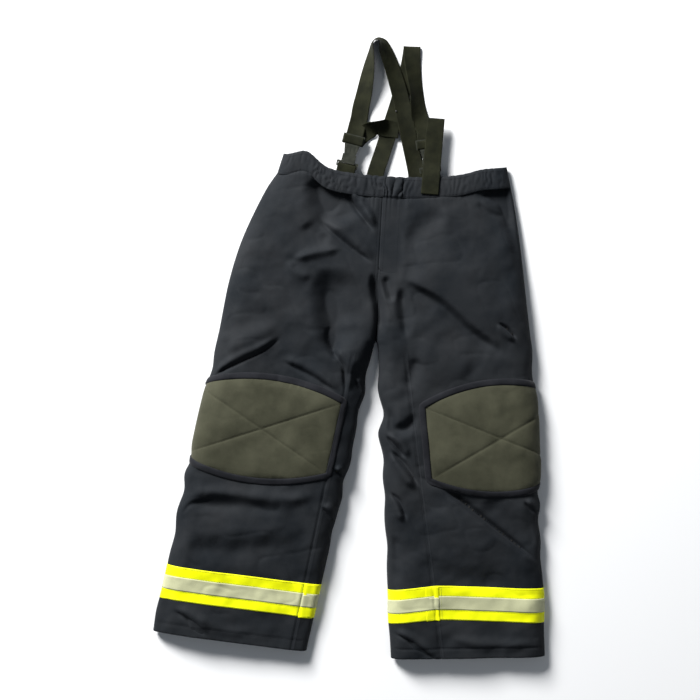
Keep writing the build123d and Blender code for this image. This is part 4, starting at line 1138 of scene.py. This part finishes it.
loop = [tilted(-70, 438, 3.4, 30, 0), tilted(-61, 449, 3.2, 42, 0), tilted(-52, 457.5, 3.4, 52, -2),
        tilted(-43, 463.0, 7.2, 62, -18), tilted(-34, 467.3, 13.0, 74, -44),
        tilted(-24, 469.8, 15.6, 84, -50),
        tilted(-14, 470.5, 12.2, 90, -30), tilted(-4, 470.2, 8.2, 93, -8), tilted(6, 469.8, 6.9, 95, 0),
        tilted(24, 468.6, 6.7, 95, 0)]
obj = ribbon("right_strap_loose_end", loop, width=38.0)
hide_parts("right_strap_tail")
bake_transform(obj)

angle = np.linspace(0, 2 * math.pi, 20, endpoint=False)
tack = [[15 + r * math.cos(a), 509 + r * math.sin(a), z]
        for r, z in ((2.0, 10.6), (1.8, 12.2), (0.8, 12.6)) for a in angle]
faces = [list(f) for f in grid_faces(3, 20, closed=True)] + [list(range(40, 60)), list(range(20))[::-1]]
obj = face_out(make_object("cross_bartack", tack, faces, DARK))
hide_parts("cross_tack")
settle(obj, "braces")

for side in SIDE:
    tab = [clasp_station(side, u, z) for u, z in [
        (-43, 15.4), (-28, 14.7), (-13, 13.6), (-6, 11.4), (-1, 10.7), (4.2, 11.0), (5.7, 12.6), (5.7, 15.4),
        (4.2, 17.0), (-1, 17.3), (-6, 17.0), (-13, 16.3), (-28, 17.2), (-43, 18.0)]]
    obj = ribbon(f"{side}_clasp_loop", tab, width=41.0)
    if side == "right":
        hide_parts("clasp_tabs")
    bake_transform(obj)

for side in SIDE:
    bend_at_fold(SHELLS[side])
    bend_at_fold(bpy.data.objects[f"{side}_lining"])

# the strap's turn round each adjuster
for side in SIDE:
    wrap = [clasp_station(side, u, z) for u, z in [
        (51.5, 10.6), (50.7, 12.5), (50.6, 15.6), (51.6, 17.6), (54, 18.5), (60, 18.8), (66, 18.5),
        (68.2, 17.6), (69.0, 15.8), (68.8, 12.5)]]
    obj = ribbon(f"{side}_adjuster_strap", wrap, width=44.0, thick=1.7, spacing=1.2)
    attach(obj, f"{side}_clasp")

# --- floor, light and camera ---
mesh = bpy.data.meshes.new("floor")
mesh.from_pydata([(-6, -6, 0), (6, -6, 0), (6, 6, 0), (-6, 6, 0)], [], [(0, 1, 2, 3)])
floor = bpy.data.objects.new("floor", mesh)
bpy.context.scene.collection.objects.link(floor)
floor_material, tree, surface = shader("floor", 0.9)
surface.inputs["Base Color"].default_value = (0.88, 0.88, 0.88, 1)
mesh.materials.append(floor_material)


def area_light(name, place, target, size, power):
    light = bpy.data.lights.new(name, "AREA")
    light.size, light.energy = size, power
    obj = bpy.data.objects.new(name, light)
    obj.location = place
    obj.rotation_euler = (Vector(target) - Vector(place)).to_track_quat("-Z", "Y").to_euler()
    bpy.context.scene.collection.objects.link(obj)


area_light("key", (-3.15, 3.75, 2.65), (0, 0, 0), 1.9, 860)
area_light("fill", (2.2, -1.6, 2.6), (0, 0, 0), 2.4, 10)
world = bpy.data.worlds.new("studio")
world.use_nodes = True
world.node_tree.nodes["Background"].inputs["Color"].default_value = (0.76, 0.87, 1.0, 1)
world.node_tree.nodes["Background"].inputs["Strength"].default_value = 0.14
bpy.context.scene.world = world
bpy.context.scene.view_settings.view_transform = "Standard"

camera = bpy.data.cameras.new("camera")
camera.sensor_width = 36
DISTANCE, VIEW_WIDTH = 3.2, 1.54
camera.lens = camera.sensor_width * DISTANCE / VIEW_WIDTH
camera_object = bpy.data.objects.new("camera", camera)
camera_object.location = (*row_point(-56, -23, 0)[:2], DISTANCE + 0.02)
camera_object.rotation_euler = (0, 0, math.radians(3.35))
bpy.context.scene.collection.objects.link(camera_object)
bpy.context.scene.camera = camera_object
